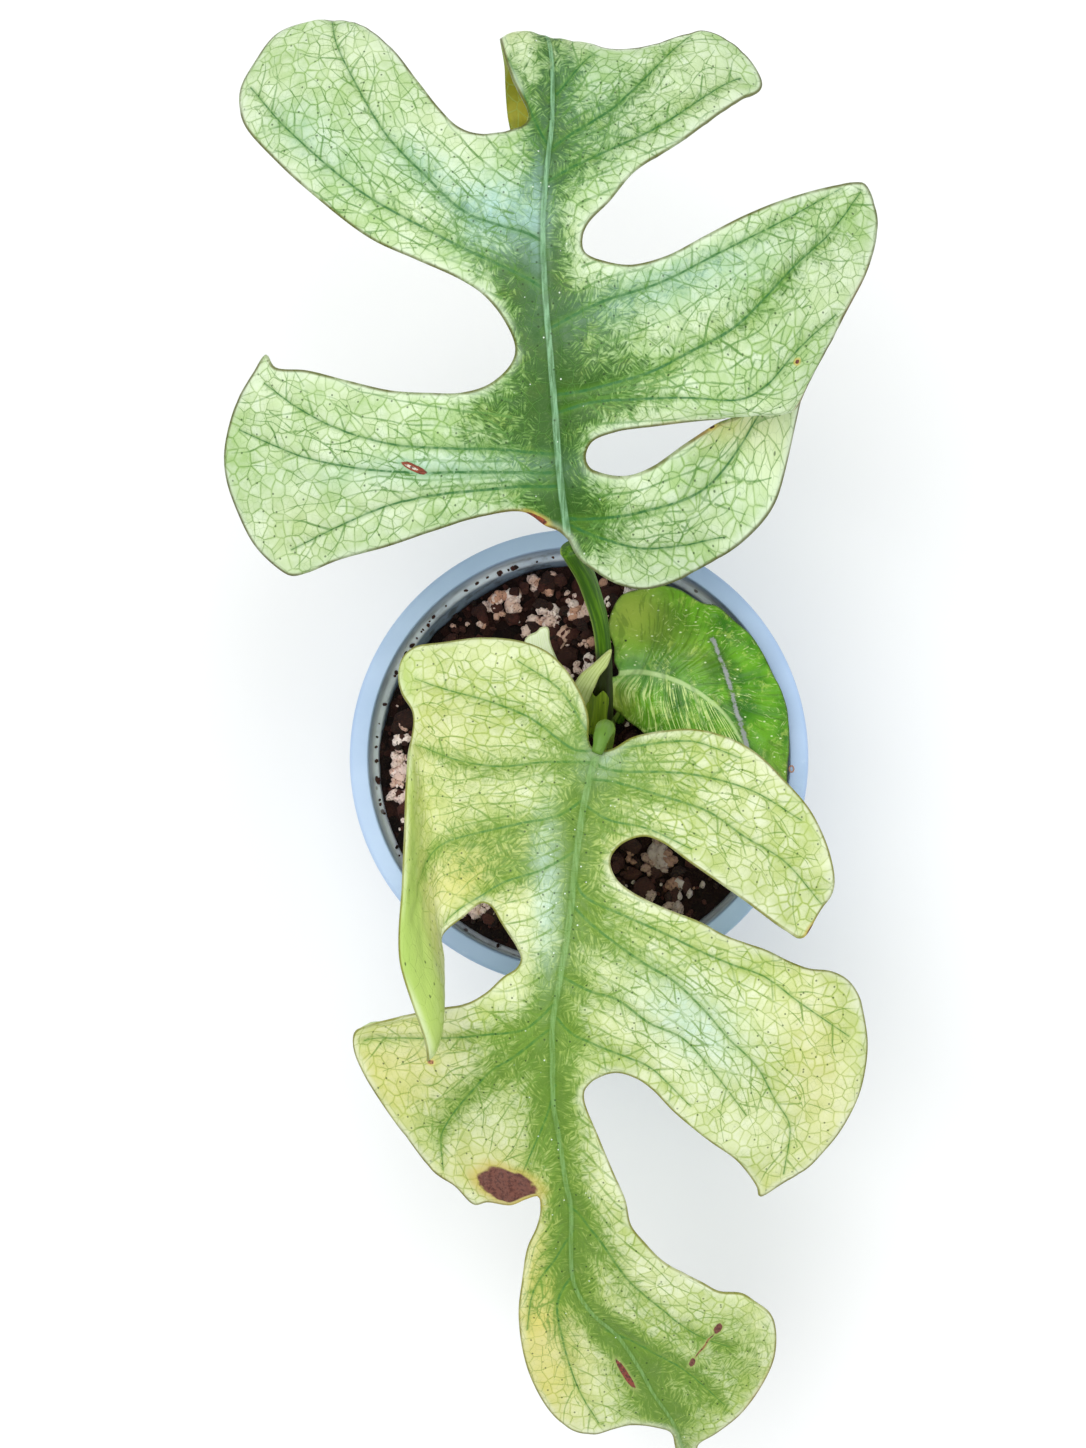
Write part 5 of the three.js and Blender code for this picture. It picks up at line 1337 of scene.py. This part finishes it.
def soil_height(x, y):
    broad = math.sin(0.21 * x + 1.3) * math.cos(0.17 * y + 0.4)
    narrow = math.sin(0.37 * y - 0.25 * x)
    hollow = SOIL_HOLLOW_DEPTH * math.exp(
        -(((x - SOIL_HOLLOW[0]) ** 2 + (y - SOIL_HOLLOW[1]) ** 2) / SOIL_HOLLOW_WIDTH**2)
    )
    return SOIL_LEVEL - SOIL_SLOPE * y + SOIL_LUMP * (broad + 0.7 * narrow) - hollow


def wall_radius(z):
    foot = BASE_RADIUS - POT_WALL
    share = (min(z, LEDGE_TOP) - POT_FLOOR) / (LEDGE_TOP - POT_FLOOR)
    return foot + (LEDGE_RADIUS - foot) * share - 0.3


def rough_height(x, y):
    """The bed's height between the grains, with clods and crumbs."""
    clods = 1.1 * noise.noise((x / 3.4, y / 3.4, 2.0))
    crumbs = 0.6 * noise.noise((x / 1.5, y / 1.5, 5.0))
    return min(soil_height(x, y) + (clods + crumbs) - 0.3, SOIL_TOP)


def soil_bed():
    """The mound: fine rings on top, then the wall and the bottom."""
    rings, sides, wall_bend = 56, 176, 69
    top_radius = wall_radius(LEDGE_TOP)
    vertices = [(0, 0, soil_height(0, 0))]
    for k in range(1, rings + 1):
        radius = top_radius * k / rings
        for x, y, _ in circle_points(radius, sides, 0):
            z = rough_height(x, y)
            pull = min(1, wall_radius(z) / radius)
            vertices.append((x * pull, y * pull, z))
    for z in (wall_bend, SOIL_FLOOR):
        vertices += circle_points(wall_radius(z), sides, z)
    bottom = len(vertices)
    vertices.append((0, 0, SOIL_FLOOR))
    faces = []
    for i in range(sides):
        j = (i + 1) % sides
        faces.append((0, 1 + i, 1 + j))
        for k in range(rings + 1):
            a, b = 1 + k * sides, 1 + (k + 1) * sides
            faces.append((a + i, b + i, b + j, a + j))
        last = 1 + (rings + 1) * sides
        faces.append((last + i, bottom, last + j))
    return np.array(vertices), faces


def unit_ball(level):
    """Points and triangles of a ball made from a twenty-sided solid, split a few times."""
    g = (1 + 5**0.5) / 2
    corners = np.array([
        (-1, g, 0), (-g, 0, 1), (0, 1, g), (1, g, 0), (0, 1, -g), (-g, 0, -1), (g, 0, 1),
        (0, -1, g), (-1, -g, 0), (0, -1, -g), (g, 0, -1), (1, -g, 0),
    ], float) / math.hypot(1, g)
    faces = [
        (0, 1, 2), (0, 2, 3), (0, 3, 4), (0, 4, 5), (0, 5, 1), (3, 2, 6), (2, 1, 7), (1, 5, 8),
        (5, 4, 9), (4, 3, 10), (11, 6, 7), (11, 7, 8), (11, 8, 9), (11, 9, 10), (11, 10, 6),
        (7, 6, 2), (8, 7, 1), (9, 8, 5), (10, 9, 4), (6, 10, 3),
    ]
    points = [tuple(p) for p in corners]
    for _ in range(level):
        middle = {}
        finer = []

        def between_points(a, b):
            key = (min(a, b), max(a, b))
            if key not in middle:
                m = (np.array(points[a]) + points[b]) / 2
                points.append(tuple(m / np.linalg.norm(m)))
                middle[key] = len(points) - 1
            return middle[key]

        for a, b, c in faces:
            ab, bc, ca = between_points(a, b), between_points(b, c), between_points(c, a)
            finer += [(a, ab, ca), (b, bc, ab), (c, ca, bc), (ab, bc, ca)]
        faces = finer
    return corners, np.array(points), np.array(faces)


CORNERS, BALL, BALL_FACES = unit_ball(2)
_, PEBBLE, PEBBLE_FACES = unit_ball(1)
_, CRUMB, CRUMB_FACES = unit_ball(0)


def rough_bit(draw, sizes, flatness, ball, jag):
    """One grain: swollen like its coarse solid, roughened, flattened and turned."""
    swell = np.array([between(draw, 0.78, 1.12) for _ in range(12)])
    share = np.exp(6 * ball @ CORNERS.T)
    shape = ball * (share @ swell / share.sum(1))[:, None]
    size = between(draw, *sizes) / 2
    breadth = between(draw, 0.6, 0.95)
    tilt = between(draw, -0.5, 0.5)
    turn = between(draw, 0, math.pi)
    seed = 40 * turn + 9 * tilt
    points = [Vector(p) for p in ball]
    coarse = [jag * noise.noise(p * 1.7 + Vector((seed, 0, 0))) for p in points]
    fine = [0.4 * jag * noise.noise(p * 4.1 + Vector((0, seed, 0))) for p in points]
    rough = (np.array(coarse) + fine)[:, None]
    shape = shape * (1 + rough) * (size, size * breadth, size * flatness)
    turned = Matrix.Rotation(turn, 3, "Z") @ Matrix.Rotation(tilt, 3, "X")
    return shape @ np.array(turned).T


class Heap:
    """Many grains gathered into one mesh, with a random tint for each."""

    def __init__(self):
        self.points, self.faces, self.tints, self.grains, self.count = [], [], [], [], 0

    def add(self, shape, faces, place, tint):
        self.points.append(shape + place)
        self.faces += (faces + self.count).tolist()
        self.tints.append(np.full(len(shape), tint))
        self.grains.append(shape / 4 + tint * 7)
        self.count += len(shape)

    def finish(self, name, material, smooth):
        points = np.vstack(self.points)
        attributes = {"tint": np.concatenate(self.tints), "grain": np.vstack(self.grains)}
        add_object(name, points, self.faces, ["soil"], [material], attributes, smooth)


def cluster(draw, centre, spread):
    """A plan place near a centre, kept inside the wall."""
    angle, radius = between(draw, 0, 2 * math.pi), spread * math.sqrt(draw())
    x, y = centre[0] + radius * math.cos(angle), centre[1] + radius * math.sin(angle)
    pull = min(1, (LEDGE_RADIUS - 5) / math.hypot(x, y))
    return x * pull, y * pull


def far_from_stem(x, y, room):
    return math.hypot(x - STEM_FOOT[0], y - STEM_FOOT[1]) > room


def coarse_grit(pumice, bark):
    """The grains that the solid has, in its places."""
    draw = seeded_random(20)
    kinds = ((52, (4.5, 7), 0.75, pumice, 0.5), (34, (5, 9), 0.4, bark, 0.34))
    for count, sizes, flatness, heap, jag in kinds:
        reach = LEDGE_RADIUS - sizes[1] / 2 - 1
        for _ in range(count):
            radius = reach * math.sqrt(draw())
            angle = between(draw, 0, 2 * math.pi)
            x, y = radius * math.cos(angle), radius * math.sin(angle)
            shape = rough_bit(draw, sizes, flatness, BALL, jag)
            if far_from_stem(x, y, STEM_ROOM + sizes[1] / 2 + 1):
                heap.add(shape, BALL_FACES, (x, y, soil_height(x, y)), (17 * radius) % 1)


def fine_grit(pumice, bark):
    """Smaller grains and crumbs over the whole top."""
    draw, rise = seeded_random(91), 0.4
    kinds = (
        (70, (1.6, 4.0), 0.75, pumice, 0.35, PEBBLE, PEBBLE_FACES),
        (240, (2.5, 7.5), 0.5, bark, 0.4, PEBBLE, PEBBLE_FACES),
        (900, (0.9, 2.4), 0.7, bark, 0.3, CRUMB, CRUMB_FACES),
        (140, (0.8, 2.0), 0.8, pumice, 0.3, CRUMB, CRUMB_FACES),
    )
    for count, sizes, flatness, heap, jag, ball, faces in kinds:
        for _ in range(count):
            size_room = sizes[1] / 2 + 0.6
            radius = (LEDGE_RADIUS - size_room) * math.sqrt(draw())
            angle = between(draw, 0, 2 * math.pi)
            x, y = radius * math.cos(angle), radius * math.sin(angle)
            shape = rough_bit(draw, sizes, flatness, ball, jag)
            lift = between(draw, -0.2, 1.0) * rise
            if far_from_stem(x, y, STEM_ROOM + 0.4 + sizes[1] / 2):
                heap.add(shape, faces, (x, y, soil_height(x, y) + lift), draw())


def puffed_grain(draw, pumice, place, size, tint):
    """One pale grain, made of three lumps that lie into each other."""
    reach = 0.42 * size
    for _ in range(3):
        offset = [between(draw, -reach, reach), between(draw, -reach, reach), 0.4 * draw()]
        shape = rough_bit(draw, (0.45 * size, 0.85 * size), 0.8, BALL, 0.4)
        pumice.add(shape, BALL_FACES, np.add(place, offset), tint)


def clustered_grit(pumice, bark):
    """Puffed pale grains lie thick behind the blades and along the left wall, with bark between."""
    draw = seeded_random(57)
    heaps = (((-12, 34), 21, 50), ((-44, -6), 13, 24), ((-30, -38), 9, 10), ((20, -28), 14, 14))
    for centre, spread, count in heaps:
        for _ in range(count):
            x, y = cluster(draw, centre, spread)
            z = soil_height(x, y) + between(draw, 0, 1.4)
            size, tint = between(draw, 2.2, 5.4), draw()
            if not far_from_stem(x, y, STEM_ROOM + 5):
                continue
            puffed_grain(draw, pumice, (x, y, z), size, tint)
            x, y = cluster(draw, centre, spread)
            shape = rough_bit(draw, (1.6, 4.6), 0.6, PEBBLE, 0.4)
            z = soil_height(x, y) + between(draw, 0.5, 2.0)
            bark.add(shape, PEBBLE_FACES, (x, y, z), draw())


def ledge_crumbs(bark):
    """Crumbs that lie on the shoulder inside the pot."""
    draw = seeded_random(5)
    for _ in range(60):
        angle = math.radians(between(draw, 95, 215) if draw() < 0.6 else between(draw, 0, 360))
        radius = LEDGE_RADIUS + between(draw, 0.3, 0.9)
        shape = rough_bit(draw, (0.6, 1.9), 0.7, CRUMB, 0.3)
        place = (radius * math.cos(angle), radius * math.sin(angle), LEDGE_TOP + 0.9)
        bark.add(shape, CRUMB_FACES, place, draw())


def fibre_curl(grit):
    """A small brown ring of root fibre that hangs over the rim at the right."""
    sides, round_sides = 20, 6
    points, faces = [], []
    for i in range(sides):
        turn = 2 * math.pi * i / sides
        for j in range(round_sides):
            roll = 2 * math.pi * j / round_sides
            reach, z = 0.62 + 0.14 * math.cos(roll), 0.14 * math.sin(roll)
            points.append((reach * math.cos(turn), 1.3 * reach * math.sin(turn), z))
            k, m = (i + 1) % sides, (j + 1) % round_sides
            a, b, c, d = (u * round_sides + v for u, v in ((i, j), (k, j), (k, m), (i, m)))
            faces += [(a, b, c), (a, c, d)]
    grit.add(np.array(points), np.array(faces), (*CURL_PLACE, POT_HEIGHT + 0.3), -1)


def add_soil():
    vertices, faces = soil_bed()
    add_object("soil_bed", vertices, faces, ["soil"], [soil_material()])
    pumice, bark = Heap(), Heap()
    coarse_grit(pumice, bark)
    fine_grit(pumice, bark)
    clustered_grit(pumice, bark)
    ledge_crumbs(bark)
    fibre_curl(pumice)
    pumice.finish("soil_pumice", pumice_material(), True)
    bark.finish("soil_bark", bark_material(), False)


# The plant


def petiole_profile(along, angles):
    """A shallow channel on the upper side and faint ridges."""
    return -0.08 * bump(np.angle(np.exp(1j * (angles - 1.6))), 0.45) + 0.02 * np.sin(7 * angles)


def knob_profile(along, angles):
    """Wrinkled where the stalk of leaf 2 is thick at its end."""
    wrinkle = 0.03 * math.sin(90 * along) * np.clip((along - 0.72) * 6, 0, 1)
    return petiole_profile(along, angles) + wrinkle


def stem_profile(along, angles):
    """Faint ridges, and two thin rings where leaves were."""
    ring = 0.06 * bump(along - 0.66, 0.012) + 0.05 * bump(along - 0.84, 0.012)
    return 0.03 * np.sin(3 * angles + 4 * along) + 0.015 * np.sin(9 * angles) + ring


def wall_faces(rows, columns):
    """Faces of a curved wall: its outer layer of columns of points, then its inner one."""
    def at(layer, i, k):
        return (layer * columns + i) * rows + k

    faces = []
    top, last = rows - 1, columns - 1
    for i in range(last):
        for k in range(top):
            faces.append((at(0, i, k), at(0, i + 1, k), at(0, i + 1, k + 1), at(0, i, k + 1)))
            faces.append((at(1, i, k), at(1, i, k + 1), at(1, i + 1, k + 1), at(1, i + 1, k)))
        faces.append((at(1, i, 0), at(1, i + 1, 0), at(0, i + 1, 0), at(0, i, 0)))
        faces.append((at(0, i, top), at(0, i + 1, top), at(1, i + 1, top), at(1, i, top)))
    for k in range(top):
        faces.append((at(0, 0, k), at(0, 0, k + 1), at(1, 0, k + 1), at(1, 0, k)))
        faces.append((at(0, last, k), at(1, last, k), at(1, last, k + 1), at(0, last, k + 1)))
    return faces


def torn_sheath(name, material):
    """The green sheath that clasps the foot of petiole 1, with a torn upper edge."""
    centres, _, radius, rings, _ = tube_rings(
        SHEATH_PATH, SHEATH_RADII, SHEATH_STEP, SHEATH_COLUMNS, petiole_profile,
    )
    rings, share = np.array(rings), np.linspace(0, 1, len(rings))
    columns = np.arange(*SHEATH_SPAN) % SHEATH_COLUMNS
    turn = np.linspace(0, 1, len(columns))
    top = np.interp(turn, *zip(*SHEATH_TEAR))
    layers = []
    for thickness in (0.0, SHEATH_THICKNESS):
        for column, height in zip(columns, top):
            outer = rings[:, column]
            inward = (centres - outer) / radius[:, None]
            wall = outer + inward * thickness
            level = share * height
            layers.append(np.column_stack([np.interp(level, share, wall[:, k]) for k in range(3)]))
    faces = wall_faces(len(rings), len(columns))
    angle = np.repeat(turn * np.pi, len(rings))
    length = np.concatenate([share * height for height in top])
    skin = np.column_stack([np.cos(angle), np.sin(angle), length * 1.5])
    attributes = {"skin": np.vstack([skin, skin]), "along": np.concatenate([length, length])}
    return add_object(name, np.vstack(layers), faces, [], [material], attributes)


def add_blades():
    upper_1 = leaf_upper("variegated_leaf_upper_1", LEAF_LOOK, MARKS_1)
    upper_2 = leaf_upper("variegated_leaf_upper_2", LEAF_LOOK_2, MARKS_2)
    lower = leaf_lower("variegated_leaf_lower", srgb(190, 208, 150), srgb(140, 170, 96))
    upper_3 = small_leaf_upper()
    lower_3 = leaf_lower("juvenile_leaf_lower", srgb(120, 158, 78), srgb(90, 130, 60))
    spear = sheath_material("sheath_spear", srgb(204, 216, 146), srgb(172, 190, 104))
    old = sheath_material("sheath_old", srgb(246, 253, 226), srgb(228, 242, 192))
    blade("leaf_1_blade", LEAF_1, "variegated_leaf", "leaf_1", [upper_1, lower], 0.95, PATCHES_1)
    blade("leaf_2_blade", LEAF_2, "variegated_leaf", "leaf_2", [upper_2, lower], 0.95, PATCHES_2)
    small = blade(
        "leaf_3_blade", LEAF_3, "juvenile_leaf", "leaf_3", [upper_3, lower_3], 0.7, PATCHES_3,
        ribs=0.7, quilt=0.7,
    )
    add_distance(small, "crease", CREASE_3)
    blade("spear_sheath", SPEAR, "sheath", "spear", [spear], 0.42, ribs=0.25, quilt=0.3)
    blade("old_sheath_tip", OLD_SHEATH, "sheath", "old_sheath", [old], 0.5, ribs=0.25, quilt=0.4)


def add_stalks():
    green, dark_green = srgb(86, 128, 18), srgb(42, 82, 0)
    stem = stalk_material("stem_skin", srgb(98, 124, 40), srgb(54, 76, 18))
    stalk = stalk_material("petiole_skin", green, dark_green)
    # Petiole 1's foot is painted dark as shade
    shaded_foot = stalk_material("petiole_painted_shade_skin", green, dark_green, foot=srgb(32, 30, 10))
    knob = stalk_material(
        "petiole_knob_skin", srgb(140, 166, 50), srgb(84, 116, 20), tip=srgb(96, 134, 50),
    )
    clasp = stalk_material("sheath_green_skin", srgb(134, 158, 34), srgb(84, 110, 10))
    tube("stem_body", STEM_PATH, STEM_RADII, "stem", stem, stem_profile)
    tube("petiole_1_stalk", PETIOLE_1_PATH, PETIOLE_1_RADII, "petiole_1", shaded_foot,
         petiole_profile)
    tube("petiole_2_stalk", PETIOLE_2_PATH, PETIOLE_2_RADII, "petiole_2", knob,
         knob_profile)
    tube("petiole_3_stalk", PETIOLE_3_PATH, PETIOLE_3_RADII, "petiole_3", stalk,
         petiole_profile, step=0.5)
    torn_sheath("spear_foot", clasp)


def add_distance(piece, key, line):
    """How far each point of a blade is from a line on its pressed plan, in mm."""
    plan = np.zeros(3 * len(piece.data.vertices))
    piece.data.attributes["plan"].data.foreach_get("vector", plan)
    gap, _ = to_line(plan.reshape(-1, 3)[:, :2] * 10, spline(line, 1.0))
    piece.data.attributes.new(key, "FLOAT", "POINT").data.foreach_set("value", gap)


# Floor, light and camera


def add_floor():
    s = Shader("floor_paper", Specular_IOR_Level=0.1)
    s.ground = FLOOR_GREY
    mesh = bpy.data.meshes.new("floor")
    a = FLOOR_HALF_SIDE
    mesh.from_pydata([(-a, -a, 0), (a, -a, 0), (a, a, 0), (-a, a, 0)], [], [(0, 1, 2, 3)])
    mesh.materials.append(s.finish(0.9))
    floor = bpy.data.objects.new("floor", mesh)
    bpy.context.scene.collection.objects.link(floor)
    floor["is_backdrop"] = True


def add_light(name, place, size, power, colour):
    lamp = bpy.data.lights.new(name, "AREA")
    lamp.shape, lamp.size, lamp.energy, lamp.color = "DISK", size, power, colour
    light = bpy.data.objects.new(name, lamp)
    light.location = place
    light.rotation_euler = (Vector(LIT_PLACE) - Vector(place)).to_track_quat("-Z", "Y").to_euler()
    bpy.context.scene.collection.objects.link(light)


def add_world():
    world = bpy.data.worlds.new("studio")
    world.use_nodes = True
    background = world.node_tree.nodes["Background"]
    background.inputs["Color"].default_value = WORLD_COLOUR
    background.inputs["Strength"].default_value = WORLD_STRENGTH
    bpy.context.scene.world = world


def add_camera():
    """The photograph's view, from above and a little in front."""
    ahead = (CAMERA_TARGET - EYE).normalized()
    right = ahead.cross(Vector((0, 1, 0))).normalized()
    up = right.cross(ahead)
    data = bpy.data.cameras.new("camera")
    data.sensor_fit, data.sensor_height, data.lens = "VERTICAL", SENSOR_HEIGHT, FOCAL_LENGTH
    data.clip_start = NEAR_CLIP
    camera = bpy.data.objects.new("camera", data)
    turned = Matrix((right, up, -ahead)).transposed().to_4x4()
    camera.matrix_world = Matrix.Translation(EYE) @ turned
    bpy.context.scene.collection.objects.link(camera)
    bpy.context.scene.camera = camera


add_camera()
add_floor()
add_world()
for light in LIGHTS:
    add_light(**light)
bpy.context.scene.view_settings.view_transform = "Standard"
add_pot()
add_soil()
add_blades()
add_stalks()

boxes = [[list(corner) for corner in box] for box in (cad_box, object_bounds())]
